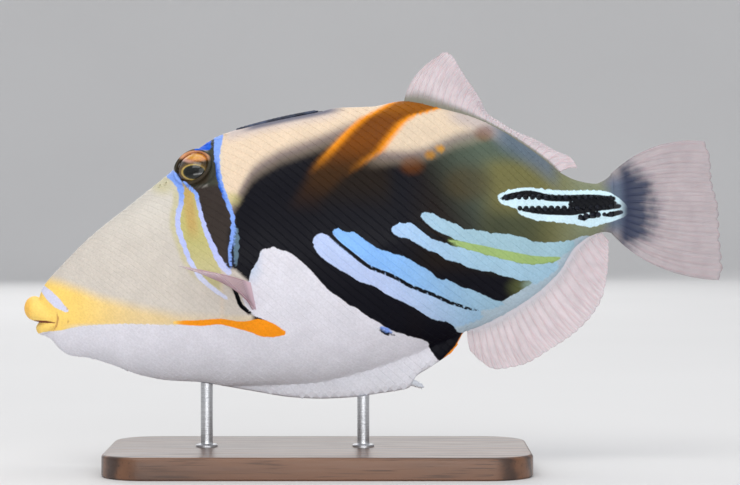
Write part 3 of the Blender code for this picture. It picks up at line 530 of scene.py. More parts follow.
def below(curve, at):
    """Pixels under a curve drawn from front to rear."""
    return at[:, 1] - np.interp(at[:, 0], [p[0] for p in curve], [p[1] for p in curve])


def tone(red, green, blue):
    """A colour as the shaders use it, from its usual 0 to 255 values."""
    share = np.array((red, green, blue)) / 255
    return np.where(share <= 0.04045, share / 12.92, ((share + 0.055) / 1.055) ** 2.4)


def laid_over(colours, colour, cover):
    """Blends a colour over the others by a cover of 0 to 1 at each point."""
    cover = np.clip(cover, 0, 1)[:, None]
    return colours * (1 - cover) + np.asarray(colour) * cover


class Coat:
    """Colours at a run of points, painted over layer by layer."""

    def __init__(self, colour):
        self.colours = np.asarray(colour)

    def lay(self, colour, cover):
        self.colours = laid_over(self.colours, colour, cover)


CHEEK = tone(205, 197, 187)
CHEEK_TOP = tone(208, 202, 192)
PALE = tone(220, 220, 227)
WHITE = tone(220, 218, 226)
CREAM = tone(224, 202, 176)
REAR_CREAM = tone(218, 198, 173)
DUSK = tone(112, 96, 116)
BLACK = tone(8, 8, 18)
BROWN_BLACK = tone(26, 17, 10)
OLIVE = tone(110, 107, 66)
GREY_OLIVE = tone(84, 96, 82)
PALE_OLIVE = tone(124, 130, 104)
BACK_BLUE = tone(98, 112, 130)
BAR_BROWN = tone(114, 60, 0)
BAR_ORANGE = tone(250, 152, 2)
SNOUT_YELLOW = tone(248, 210, 114)
STREAK_ORANGE = tone(246, 150, 24)
LIP_ORANGE = tone(250, 196, 96)
FACE_OLIVE = tone(188, 181, 112)
FACE_TAN = tone(190, 156, 94)
FACE_BROWN = tone(54, 46, 42)
EYE_SIDE = tone(62, 64, 54)
LIGHT_BLUE = tone(130, 164, 238)
LILAC_BLUE = tone(182, 192, 242)
ROYAL_BLUE = tone(20, 92, 214)
STRIPE_TINTS = (  # of each stripe at its front and its rear
    (tone(184, 200, 236), tone(149, 185, 210)), (tone(134, 184, 242), tone(151, 184, 204)),
    (tone(167, 198, 235), tone(158, 192, 212)), (tone(168, 200, 226), tone(156, 189, 202)),
)  # fmt: skip
SHEATH_BLUE = tone(170, 188, 200)
YELLOW_GREEN = tone(154, 180, 112)
SPINE_WHITE = tone(206, 232, 242)
TAIL_BLUE = tone(24, 36, 68)
VENT_ORANGE = tone(246, 150, 50)
TAIL_SHADE = 0.68  # how much darker the tail fin is than the other fins
TAIL_PATCH = (0.28, 0.54)  # the shares of the tail's rays between which its dark patch ends
LINE_BLACK = tone(6, 8, 15)
MOUTH_RED = tone(112, 52, 40)
IRIS_BROWN = tone(66, 50, 26)
IRIS_DARK = tone(38, 33, 24)
IRIS_GOLD = tone(120, 92, 38)
# painted glint: a dark green rim of reflected light inside the pupil
PUPIL_RIM = tone(188, 160, 84)
PUPIL_GLINT_GREEN = tone(30, 34, 18)
PUPIL_BLACK = tone(8, 11, 8)
DOME_TAN = tone(196, 124, 58)
DOME_ORANGE = tone(206, 142, 28)
DOME_PINK = tone(222, 168, 150)
EYE_EDGE = tone(34, 38, 34)
# painted shade: a grey band down from the crest beside the folded first dorsal fin
NAPE_SHADE_GREY = tone(186, 176, 182)
NAPE_BLUE = tone(76, 82, 104)
GREEN_SHADE = tone(48, 58, 46)
CREST_GREY = tone(182, 172, 174)
MOSS = tone(84, 90, 54)
PALE_MOSS = tone(134, 156, 146)
OCHRE = tone(178, 122, 30)
GOLD = tone(206, 144, 20)
UMBER = tone(74, 58, 24)
BAR_SHADE = tone(58, 34, 8)
BAR_TOP = tone(148, 86, 0)
LID_DARK = tone(58, 50, 38)
LID_TAN = tone(206, 150, 112)
TAIL_GREY = tone(140, 130, 138)
TAIL_ROOT_BLUE = tone(84, 98, 124)
DEEP_BLUE = tone(8, 84, 186)
# painted shade: a cool blue-grey on the white skin by the gill opening
GILL_SHADE_BLUE = tone(176, 196, 222)
STEEL_BLUE = tone(92, 116, 132)
LIP_LILAC = tone(214, 214, 236)
FOLD_TAN = tone(196, 146, 84)
DORSAL_ROOT_GREY = tone(120, 118, 104)
ANAL_ROOT_GREY = tone(206, 202, 208)
PECTORAL_WEB = tone(216, 192, 198)
PECTORAL_RAY = tone(184, 140, 152)
PECTORAL_PINK = tone(200, 172, 182)
HORN = {  # of each kind of spine: its colour, its paler colour in patches, and its roughness
    "dorsal_spine_skin": (tone(26, 32, 50), tone(66, 76, 100), 0.42),
    "thorn_horn": (tone(8, 10, 18), tone(30, 34, 46), 0.32),
    "pelvic_spine_skin": (tone(196, 200, 208), tone(226, 224, 224), 0.5),
}


def ground_colours(at, points):
    """The soft colours of the skin at each point, without the marks that have crisp edges."""
    u, v = at[:, 0], at[:, 1]
    coat = Coat(CHEEK)
    coat.lay(CHEEK_TOP, ease(260, 190, v))
    # The mouth's yellow band, soft above and crisp below.
    yellow = ease(-9, 7, below(YELLOW_TOP, at)) * ease(262, 150, u)
    coat.lay(SNOUT_YELLOW, yellow * (0.55 + 0.45 * ease(150, 60, u)))
    coat.lay(PALE, ease(322, 328, v) * ease(60, 90, u))
    coat.lay(FACE_OLIVE, 0.45 * ease(16, 4, np.hypot((u - 163) / 1.2, v - 183)))
    # Olive between the first two face stripes, with a tan middle.
    first, second, third = (across(stripe[0], v) for stripe in FACE_STRIPES[:3])
    olive = ease(-2, 1, u - first) * ease(2, -1, u - second) * ease(181, 188, v) * ease(302, 280, v)
    coat.lay(FACE_OLIVE, olive * (0.95 - 0.25 * ease(230, 280, v)))
    coat.lay(FACE_TAN, 0.8 * olive * ease(9, 2, np.abs(u - 190 - 0.12 * (v - 210))) * ease(244, 222, v))
    halo = ease(5, 1, np.abs(u - first + 5)) * ease(184, 194, v) * ease(300, 250, v)
    coat.lay(FACE_OLIVE, 0.5 * halo)
    # Cream saddle behind the face, and a second cream patch behind the orange bar.
    coat.lay(CREAM, ease(219, 223, u))
    ridge = smooth(BACK, points[:, 0]) - points[:, 2]
    nape = ease(222, 232, u) * ease(350, 325, u)
    # Painted shade: a grey band down from the crest beside the folded first dorsal fin.
    coat.lay(NAPE_SHADE_GREY, 0.6 * ease(5.0, 0.6, ridge) * nape)
    coat.lay(NAPE_BLUE, 0.85 * ease(2.2, 0.7, ridge) * nape * ease(238, 256, u))
    # The dark middle of the body, blurred above, and its olive rear.
    dark = ease(-17, 11, below(SADDLE_EDGE, at)) * ease(222, 236, u)
    past = ease(356, 392, u)
    dark = dark * (1 - past) + past * ease(-15, 12, below(PATCH_EDGE, at))
    dark = np.maximum(dark, ease(486, 508, u))
    warm = ease(0.0, 0.5, dark) * ease(1.0, 0.5, dark)
    coat.lay(REAR_CREAM, ease(385, 410, u))
    coat.lay(DUSK, 0.55 * warm)
    deep = laid_over(BLACK, BROWN_BLACK, ease(300, 330, u) * ease(215, 180, v) * ease(400, 380, u))
    deep = laid_over(deep, BROWN_BLACK, ease(400, 440, u) * 0.8)
    rear = ease(418, 505, u + 0.55 * (180 - v))
    olive_back = laid_over(GREY_OLIVE, OLIVE, ease(150, 170, v) * ease(470, 500, u))
    olive_back = laid_over(olive_back, PALE_OLIVE, ease(540, 590, u))
    deep = laid_over(deep, olive_back, rear)
    shade = ease(200, 222, v) * ease(262, 246, v) * ease(575, 520, u) * ease(470, 500, u)
    deep = laid_over(deep, GREEN_SHADE, 0.75 * shade)
    low = ease(258, 280, v) * ease(400, 430, u) * ease(532, 505, u + 0.3 * (v - 285))
    deep = laid_over(deep, BLACK, low)
    coat.lay(deep, dark)
    pale_back = ease(6.0, 1.5, ridge) * ease(440, 462, u) * ease(510, 490, u)
    coat.lay(CREST_GREY, 0.7 * pale_back)
    coat.lay(BACK_BLUE, 0.75 * ease(9.0, 2.0, ridge) * ease(484, 506, u) * ease(566, 545, u))
    coat.lay(MOSS, 0.8 * ease(15, 2, np.hypot((u - 522) / 1.4, v - 287)))
    coat.lay(PALE_MOSS, 0.9 * ease(9, 2, np.hypot((u - 531) / 1.4, v - 285)))
    # Yellow spots and brown tints at the lower edge of the rear patch.
    for spot, size, tint, cover in (
        ((430, 154), 6, OCHRE, 0.8), ((440, 148), 5, GOLD, 0.8),
        ((412, 164), 13, BAR_BROWN, 0.5), ((484, 133), 11, BAR_BROWN, 0.5), ((468, 182), 26, UMBER, 0.5),
        ((231, 198), 10, FACE_OLIVE, 0.6),
    ):  # fmt: skip
        coat.lay(tint, cover * ease(size, size * 0.3, np.hypot((u - spot[0]) / 1.3, v - spot[1])))
    # The orange bar, brown in its middle, which fades into the dark below.
    front = np.interp(v, [p[0] for p in BAR_FRONT], [p[1] for p in BAR_FRONT])
    rear_edge = np.interp(v, [p[0] for p in BAR_REAR], [p[1] for p in BAR_REAR])
    soft = 3.6 + 5 * ease(140, 175, v)
    bar = ease(-soft, soft, u - front) * ease(-soft, soft, rear_edge - u) * ease(218, 165, v)
    rim = np.minimum(u - front, rear_edge - u)
    bar_tint = laid_over(BAR_ORANGE, BAR_BROWN, ease(0, 13, rim))
    bar_tint = laid_over(bar_tint, BAR_SHADE, ease(138, 172, v - 6 * ease(6, 0, rim)))
    bar_tint = laid_over(bar_tint, BAR_TOP, 0.8 * ease(120, 106, v) * ease(4, 12, rim))
    coat.lay(bar_tint, bar)
    # The brown band below the eye, and the dark above the gill opening.
    between = ease(1, -1, u - third)
    coat.lay(EYE_SIDE, between * ease(204, 209, u) * ease(134, 138, v) * ease(200, 186, v))
    coat.lay(FACE_BROWN, between * ease(-1, 1, u - second) * ease(182, 187, v) * ease(274, 267, v))
    behind = ease(226, 231, u) * ease(224, 232, v) * ease(272, 262, v) * ease(258, 250, u)
    coat.lay(BLACK, behind)
    # Pale skin below the gill opening, up to the black line along it.
    wedge = 268 + 0.93 * np.maximum(u - 236, 0)
    pale = laid_over(CHEEK, SNOUT_YELLOW, 0.25 * ease(312, 318, v))
    coat.lay(pale, ease(-1.5, 1.5, v - wedge) * ease(218, 226, u) * ease(256, 250, u))
    coat.lay(YELLOW_GREEN * 0.8, ease(-4, -1, inside_band(at, *YELLOW_LINE)) * ease(446, 462, u))
    # Dark skin round the eye, and blue-black root of the tail.
    socket = np.hypot((u - 195.5) / 20.5, (v - 167) / 17.8)
    coat.lay(EYE_SIDE * 0.6, ease(1.1, 1.02, socket))
    lid = laid_over(LID_DARK, LID_TAN, ease(2, -2, v - 161 + 0.012 * (u - 196) ** 2))
    lid = laid_over(lid, EYE_SIDE * 0.8, ease(206, 212, u))
    coat.lay(lid, ease(0.99, 0.92, socket))
    coat.lay(TAIL_GREY, 0.8 * ease(592, 616, u) * ease(16, 24, np.abs(v - 206)))
    coat.lay(TAIL_ROOT_BLUE, 0.9 * ease(598, 616, u) * ease(34, 18, np.abs(v - 204)))
    # The lips.
    coat.lay(LIP_ORANGE, ease(34, 26, u))
    return coat.colours


def stack(at, layers):
    """One edge distance and one colour for marks that lie side by side: each point takes the nearest mark's
    colour."""
    edge, colours = np.full(len(at), -1e3), np.zeros((len(at), 3))
    for distance, colour in layers:
        nearer = distance > edge
        edge[nearer] = distance[nearer]
        colours[nearer] = np.broadcast_to(colour, (len(at), 3))[nearer]
    return np.clip(edge, -20, 20), colours


def mark_layers(at):
    """The crisp marks in two layers, the second over the first: each an edge distance and colours."""
    u, v = at[:, 0], at[:, 1]
    rear = ease(370, 500, u)
    pale = [laid_over(front, back, rear) for front, back in STRIPE_TINTS]
    light = LIGHT_BLUE
    inner = ease(0.6, -1.4, u - across(FACE_STRIPES[2][0], v)) * ease(156, 166, v) * ease(206, 192, v)
    light = laid_over(light, DEEP_BLUE, inner)
    white = laid_over(WHITE, PALE, ease(330, 390, v))
    # Painted shade: a cool blue-grey tint on the white skin by the gill opening and the pectoral fin's root.
    white = laid_over(white, GILL_SHADE_BLUE, 0.8 * ease(266, 250, u) * ease(236, 244, u) * ease(290, 262, v))
    low_face = laid_over(LIGHT_BLUE, LILAC_BLUE, ease(190, 215, v))
    low_face = laid_over(low_face, PALE, 0.6 * ease(245, 285, v))
    streak = laid_over(STREAK_ORANGE, SNOUT_YELLOW, ease(184, 172, u))
    first = [(inside_area(at, WHITE_BELLY), white), (inside_area(at, SHEATH), SHEATH_BLUE)]
    first += [(inside_area(at, outline), tints) for outline, tints in zip(STRIPES, pale)]
    first += [(inside_band(at, *FACE_STRIPES[0]), low_face), (inside_band(at, *FACE_STRIPES[1]), low_face)]
    first += [(inside_band(at, *FACE_STRIPES[2]), light), (inside_band(at, *FACE_STRIPES[3]), STEEL_BLUE)]
    first += [(inside_area(at, SPINE_FIELD), SPINE_WHITE), (inside_area(at, NAPE_TRIANGLE), ROYAL_BLUE)]
    second = [(inside_band(at, ORANGE_STREAK, ORANGE_HALF), streak), (inside_band(at, *LIP_PATCH), LIP_LILAC)]
    second += [(inside_band(at, *row), LINE_BLACK) for row in (*BLACK_ROWS, *BLACK_LINES)]
    second += [(inside_band(at, *YELLOW_LINE), YELLOW_GREEN), (inside_band(at, *BLUE_DASH), LIGHT_BLUE)]
    second += [(inside_band(at, *VENT_RIM), VENT_ORANGE), (inside_band(at, *MOUTH_LINE), MOUTH_RED)]
    second += [(inside_band(at, *fold), FOLD_TAN) for fold in MOUTH_FOLDS]
    return stack(at, first), stack(at, second)


SCALE_STEP = 0.22  # how far an edge keeps to whole scales
STORED_AS = {"FLOAT": "value", "FLOAT_VECTOR": "vector", "FLOAT_COLOR": "color"}


def add_markings(piece, centres=None):
    """Gives a piece the attributes that its material draws the markings from.

    With `centres`, a point for each vertex, the edges of the broad marks step from scale to scale as well.
    """
    mesh = piece.data
    points = fish_points(mesh)
    at = side_view(points)
    layers = mark_layers(at)
    if centres is not None:
        stepped = mark_layers(side_view(centres))
        edge = (1 - SCALE_STEP) * layers[0][0] + SCALE_STEP * stepped[0][0]
        layers = ((edge, layers[0][1]), layers[1])
    add_colours(mesh, "ground", ground_colours(at, points))
    for number, (edge, colours) in enumerate(layers, 1):
        add_colours(mesh, f"mark_{number}", colours)
        store(mesh, f"edge_{number}", "FLOAT", edge)


def store(mesh, name, kind, rows):
    """Stores a value, direction or colour for every vertex of a mesh."""
    layer = mesh.attributes.new(name, kind, "POINT")
    layer.data.foreach_set(STORED_AS[kind], np.asarray(rows, np.float32).ravel())


def add_colours(mesh, name, colours):
    """Stores opaque colours for every vertex."""
    store(mesh, name, "FLOAT_COLOR", np.column_stack((colours, np.ones(len(colours)))))


# Materials.
def start_material(name):
    """A new material with its Principled shader and its node tree."""
    made = bpy.data.materials.new(name)
    made.use_nodes = True
    return made, made.node_tree, made.node_tree.nodes["Principled BSDF"]


def fill(tree, made, values):
    """Sets a node's inputs to values, or links them from sockets."""
    for key, value in values.items():
        if isinstance(value, bpy.types.NodeSocket):
            tree.links.new(value, made.inputs[key])
        else:
            made.inputs[key].default_value = value
    return made


def node(tree, kind, values=None, **settings):
    """A node with its settings and its inputs."""
    made = tree.nodes.new(kind)
    for key, value in settings.items():
        setattr(made, key, value)
    return fill(tree, made, values or {})


def object_spot(tree):
    """The shaded point in the piece's own coordinates."""
    return node(tree, "ShaderNodeTexCoord").outputs["Object"]


def stored(tree, name, output="Fac"):
    """A value or colour that the mesh stores."""
    return node(tree, "ShaderNodeAttribute", attribute_name=name).outputs[output]


def noise(tree, spot, scale, detail):
    """Soft clouds, at a size given per metre."""
    return node(tree, "ShaderNodeTexNoise", {"Vector": spot, "Scale": scale, "Detail": detail}).outputs["Fac"]


def opaque(tint, share=1.0):
    """A tint as a solid colour, at a share of its brightness."""
    return (*(np.asarray(tint) * share), 1)


def mixed(tree, factor, first, second, blend="MIX"):
    """The colour output of a mix of two colours."""
    mix = {"data_type": "RGBA", "blend_type": blend}
    return node(tree, "ShaderNodeMix", {0: factor, 6: first, 7: second}, **mix).outputs[2]


def ranged(tree, value, low, high, to_low=0.0, to_high=1.0):
    """A value mapped smoothly from one range to another."""
    span = {"Value": value, "From Min": low, "From Max": high, "To Min": to_low, "To Max": to_high}
    return node(tree, "ShaderNodeMapRange", span, interpolation_type="SMOOTHSTEP").outputs["Result"]


def computed(tree, operation, first, second=0.0):
    return node(tree, "ShaderNodeMath", {0: first, 1: second}, operation=operation).outputs[0]


def new_group(name, inputs, outputs):
    """An empty shader group, with the nodes that carry its inputs and outputs."""
    group = bpy.data.node_groups.new(name, "ShaderNodeTree")
    for title, kind, default in inputs:
        socket = group.interface.new_socket(title, in_out="INPUT", socket_type=kind)
        socket.default_value = default
    for title, kind in outputs:
        group.interface.new_socket(title, in_out="OUTPUT", socket_type=kind)
    return group, group.nodes.new("NodeGroupInput"), group.nodes.new("NodeGroupOutput")


def markings_group():
    """The skin's colours, from the marking attributes, with fine speckle and edges that waver."""
    inputs = (("Edge Waver", "NodeSocketFloat", 1.1), ("Speckle", "NodeSocketFloat", 0.5))
    outputs = (("Colour", "NodeSocketColor"), ("Mottle", "NodeSocketFloat"))
    tree, given, result = new_group("fish_markings", inputs, outputs)
    spot = object_spot(tree)
    waver = noise(tree, spot, 900.0, 2.0)
    shift = computed(tree, "MULTIPLY", computed(tree, "SUBTRACT", waver, 0.5), given.outputs["Edge Waver"])
    colour = stored(tree, "ground", "Color")
    for number in (1, 2):
        edge = stored(tree, f"edge_{number}")
        mark = stored(tree, f"mark_{number}", "Color")
        cover = ranged(tree, computed(tree, "ADD", edge, shift), -0.55, 0.55)
        colour = mixed(tree, cover, colour, mark)
    cloudy = noise(tree, spot, 160.0, 4.0)
    grains = node(tree, "ShaderNodeTexVoronoi", {"Vector": spot, "Scale": 1500.0}).outputs["Distance"]
    mottle = computed(
        tree, "ADD", computed(tree, "MULTIPLY", cloudy, 0.7), computed(tree, "MULTIPLY", grains, 0.45)
    )
    light = ranged(tree, mottle, 0.3, 0.9, 0.82, 1.1)
    toned = mixed(tree, given.outputs["Speckle"], colour, light, "MULTIPLY")
    fill(tree, result, {"Colour": toned, "Mottle": mottle})
    return tree


def relief_group():
    """A bump from scattered grains and soft folds, at sizes given per metre."""
    sizes = {"Grain Scale": 2200.0, "Fold Scale": 500.0, "Strength": 0.3, "Depth": 0.00008}
    inputs = [(title, "NodeSocketFloat", value) for title, value in sizes.items()]
    tree, given, result = new_group("fine_relief", inputs, (("Normal", "NodeSocketVector"),))
    grain_scale, fold_scale, strength, depth = (given.outputs[title] for title in sizes)
    spot = object_spot(tree)
    grains = node(tree, "ShaderNodeTexVoronoi", {"Vector": spot, "Scale": grain_scale}).outputs["Distance"]
    folds = noise(tree, spot, fold_scale, 3.0)
    height = computed(tree, "ADD", computed(tree, "MULTIPLY", grains, 0.6), folds)
    made = node(tree, "ShaderNodeBump", {"Height": height, "Strength": strength, "Distance": depth})
    fill(tree, result, {"Normal": made.outputs["Normal"]})
    return tree


def use_group(tree, group, values=None):
    """A shader group in a tree, with its inputs."""
    return fill(tree, node(tree, "ShaderNodeGroup", node_tree=group), values or {})


def relief_normal(tree, relief, grain, strength, folds=500.0):
    """The normal of the shared relief, at a material's own sizes."""
    values = {"Grain Scale": grain, "Fold Scale": folds, "Strength": strength}
    return use_group(tree, relief, values).outputs["Normal"]


def skin_material(name, relief, markings, roughness, grain):
    """Wet-looking skin with the markings."""
    made, tree, shader = start_material(name)
    drawn = use_group(tree, markings)
    fill(tree, shader, {
        "Base Color": drawn.outputs["Colour"],
        "Roughness": ranged(tree, drawn.outputs["Mottle"], 0.3, 0.9, roughness - 0.08, roughness + 0.1),
        "Normal": relief_normal(tree, relief, grain, 0.35),
        "Specular IOR Level": 0.1, "Coat Weight": 0.012, "Coat Roughness": 0.2,
        "Subsurface Weight": 0.03, "Subsurface Radius": (0.003, 0.0015, 0.001),
    })  # fmt: skip
    return made


# Skin.
def lip(name, form, steps=90, sides=32):
    """A rolled lip round the front of the snout, from one corner of the mouth to the other, faintly
    wrinkled."""
    front, corner = form["front"], form["corner"]
    rings = []
    for i in range(steps + 1):
        turn = math.pi * (i / steps - 0.5)
        share = math.cos(turn)
        centre = np.array((
            corner[0] - (corner[0] - front[0]) * share,
            form["half_width"] * math.sin(turn),
            corner[1] + (front[1] - corner[1]) * share,
        ))  # fmt: skip
        fullness = max(share, 0.0) ** 0.6
        reach = [form["end_radius"] + (radius - form["end_radius"]) * fullness for radius in form["radii"]]
        wrinkle = 1 + 0.012 * math.sin(17 * turn) + 0.01 * math.sin(41 * turn + 1.0)
        turns = turns_of(sides)
        out = reach[0] * wrinkle * np.cos(turns)
        ring = centre + np.column_stack(
            (-math.cos(turn) * out, math.sin(turn) * out, reach[1] * wrinkle * np.sin(turns))
        )
        rings.append(ring)
    return solid(name, *ring_mesh(rings))


def frame_at(along, up, way):
    """The point on the skin and three directions there: out, forwards along the skin, and up along it."""
    out = outward(along, up, way)
    rise = (Vector((0, 0, 1)) - out * out.z).normalized()
    forwards = rise.cross(out)
    return np.array((along, way * float(flank(along, up)), up)), np.array(out), np.array(forwards), np.array(
        rise
    )


def ring_torus(name, along, up, way, radius, thickness, segments=72, sides=14, stretch=1.0):
    """A ring lying on the skin round a point of the side view."""
    middle, out, forwards, rise = frame_at(along, up, way)
    points, faces = [], []
    for i in range(segments):
        turn = 2 * math.pi * i / segments
        reach = forwards * math.cos(turn) * stretch + rise * math.sin(turn)
        for j in range(sides):
            round_ = 2 * math.pi * j / sides
            points.append(
                middle + reach * (radius + thickness * math.cos(round_)) + out * thickness * math.sin(round_)
            )
            after, over = (i + 1) % segments, (j + 1) % sides
            faces.append((i * sides + j, after * sides + j, after * sides + over, i * sides + over))
    return solid(name, points, faces)


def dome(name, along, up, way, radius, depth, sink, segments=72, rings=36):
    """A flattened ball whose centre lies under a point of the skin."""
    middle, out, forwards, rise = frame_at(along, up, way)
    centre = middle - out * sink
    circles = []
    for ring in range(rings + 1):
        polar = math.pi * min(max(ring / rings, 0.004), 0.996)
        turns = turns_of(segments)
        reach = np.cos(turns)[:, None] * forwards + np.sin(turns)[:, None] * rise
        circles.append(centre + reach * radius * math.sin(polar) - out * depth * math.cos(polar))
    return solid(name, *ring_mesh(circles))


def slot_cutter(way):
    """A curved wedge that cuts the gill opening."""
    path = rounded(GILL_SLIT, steps=6)
    rings = []
    for i, spot in enumerate(path):
        before, after = path[max(i - 1, 0)], path[min(i + 1, len(path) - 1)]
        run = (after - before) / np.linalg.norm(after - before)
        half = 0.5 * (0.35 + 0.65 * math.sin(math.pi * (i + 0.6) / (len(path) + 0.2)))
        ring = []
        for beside, spread in ((-1.8, 0.25), (2.0, 1.0), (2.0, -1.0), (-1.8, -0.25)):
            place_at = spot + np.array((-run[1], run[0])) * half * spread
            ring.append((place_at[0], way * (float(flank(*spot)) + beside), place_at[1]))
        rings.append(np.array(ring))
    return solid("slot", *ring_mesh(rings))


def groove_cutter():
    """The channel along the crest that the first dorsal fin folds into."""
    rings = []
    for along in np.linspace(FIRST_DORSAL[0] - 0.6, FIRST_DORSAL[1] + 0.6, 40):
        top = height(BACK, along)
        ends = min(1.0, (along - FIRST_DORSAL[0] + 0.7) / 2.5, (FIRST_DORSAL[1] + 0.7 - along) / 2.5)
        half, depth = 1.45 * math.sqrt(ends), 0.4 + 1.7 * math.sqrt(ends)
        rings.append(np.array((
            (along, -half * 0.7, top - depth), (along, half * 0.7, top - depth),
            (along, half, top - depth * 0.6), (along, half, top + 2),
            (along, -half, top + 2), (along, -half, top - depth * 0.6),
        )))  # fmt: skip
    return solid("groove", *ring_mesh(rings))


def skin_stations(settings):
    """Where the skin's rings stand, closer together over the lips."""
    fine = np.arange(SNOUT_START, 13.0, 0.4)
    rest = np.arange(13.0, TAIL_END, settings.ring_spacing)
    return np.concatenate((fine, rest, (TAIL_END,)))


def make_skin(settings, finish):
    """One closed skin from the lips to the root of the tail fin."""
    rings = []
    for along in skin_stations(settings):
        side, up, _ = half_ring(along, settings.ring_points // 2 + 1)
        side = np.concatenate((side, -side[-2:0:-1]))
        up = np.concatenate((up, up[-2:0:-1]))
        rings.append(np.column_stack((np.full(len(up), along), side, up)))
    skin = solid("skin", *ring_mesh(rings))
    extra = [lip("upper_lip", UPPER_LIP), lip("lower_lip", LOWER_LIP)]
    cutters = [groove_cutter()]
    for way in (-1, 1):
        extra.append(ring_torus("lid", EYE_ALONG, EYE_UP, way, 6.0, 0.62))
        cutters.append(
            dome("socket", EYE_ALONG, EYE_UP, way, EYE_RADIUS + 0.05, EYE_DEPTH + 0.05, EYE_DEPTH - EYE_BULGE)
        )
        cutters.append(slot_cutter(way))
        for along, up in NOSTRILS:
            extra.append(ring_torus("nostril", along, up, way, 0.55, 0.26, 28, 10))
            cutters.append(dome("pit", along, up, way, 0.42, 0.9, 0.0, 20, 10))
    boolean(skin, extra, "UNION")
    boolean(skin, cutters, "DIFFERENCE")
    soften_joins(skin)
    skin.data.materials.clear()
    skin.data.materials.append(finish)
    add_markings(skin)
    skin.name = "skin"
    return skin


def soften_joins(skin):
    """Rounds the creases where the lips and lids meet the head."""
    mesh = skin.data
    work = bmesh.new()
    work.from_mesh(mesh)
    bmesh.ops.remove_doubles(work, verts=work.verts, dist=0.03 * MM)
    bmesh.ops.triangulate(work, faces=[f for f in work.faces if len(f.verts) > 4])
    eye = Vector(((EYE_ALONG - BASE_UNDER) * MM, 0, (EYE_UP + BELLY_CLEARANCE) * MM))
    lips, lids = [], []
    for vertex in work.verts:
        along = vertex.co.x / MM + BASE_UNDER
        reach = math.hypot(vertex.co.x - eye.x, vertex.co.z - eye.z) / MM
        if 4.8 < along < 15.0:
            lips.append(vertex)
        elif 5.9 < reach < 8.2:
            lids.append(vertex)
    axes = {"use_axis_x": True, "use_axis_y": True, "use_axis_z": True}
    for verts, rounds in ((lips, 5), (lids, 4)):
        for _ in range(rounds):
            bmesh.ops.smooth_vert(work, verts=verts, factor=0.4, **axes)
    bmesh.ops.recalc_face_normals(work, faces=work.faces)
    work.to_mesh(mesh)
    work.free()
    mesh.shade_smooth()


# Scales.
SCALE_PITCH = (
    (4.0, 0.42), (20.0, 0.56), (50.0, 0.78), (75.0, 0.96), (110.0, 1.0), (145.0, 0.95), (165.0, 0.8),
    (184.0, 0.6),
)


def scale_lattice(settings, way):
    """Centres of the scales of one flank in a diamond lattice that runs along the widest line of the body.

    Gives rows of (along, side, up), the ways out of the skin and forwards along it, and each scale's size.
    """
    centres, outs, ahead, sizes = [], [], [], []
    along, column = 12.0, 0
    slit = rounded(GILL_SLIT)
    while along < TAIL_END - 0.8:
        pitch = settings.scale_pitch * height(SCALE_PITCH, along)
        side, up, run = half_ring(along)
        middle = np.interp(height(WIDEST_UP, along), up[::-1], run[::-1])
        step = pitch * 0.5 * settings.scale_aspect
        first = -int(middle / step) - 1
        for row in range(first, int((run[-1] - middle) / step) + 2):
            at = middle + row * step
            if (row + column) % 2 or not 0.45 * pitch + 0.5 < at < run[-1] - 0.3 * pitch - 0.6:
                continue
            spot = (along, float(np.interp(at, run, side)), float(np.interp(at, run, up)))
            if not takes_scale(spot, slit):
                continue
            centres.append((spot[0], way * spot[1], spot[2]))
            out = outward(spot[0], spot[2], way)
            outs.append(out)
            ahead.append((Vector((-1, 0, 0)) + out * out.x).normalized())
            sizes.append(pitch)
        along += pitch * 0.5
        column += 1
    return np.array(centres), np.array(outs), np.array(ahead), np.array(sizes)


def takes_scale(spot, slit):
    """Whether a scale grows at a point: not on the lips, round the eye, in the gill opening or at the fins'
    roots."""
    along, side, up = spot
    crest = height(BACK, along) - up
    if math.hypot(along - EYE_ALONG, up - EYE_UP) < 7.9 or side < 0.9:
        return False
    if along < 17.0 and up < 31.0:
        return False
    if FIRST_DORSAL[0] - 1.5 < along < FIRST_DORSAL[1] + 1.5 and crest < 1.6:
        return False
    if min(math.hypot(along - s[0], up - s[1]) for s in slit) < 1.3:
        return False
    if any(math.hypot(along - n[0], up - n[1]) < 1.5 for n in NOSTRILS):
        return False
    return not (70.4 < along < 74.2 and 27.6 < up < 37.6)


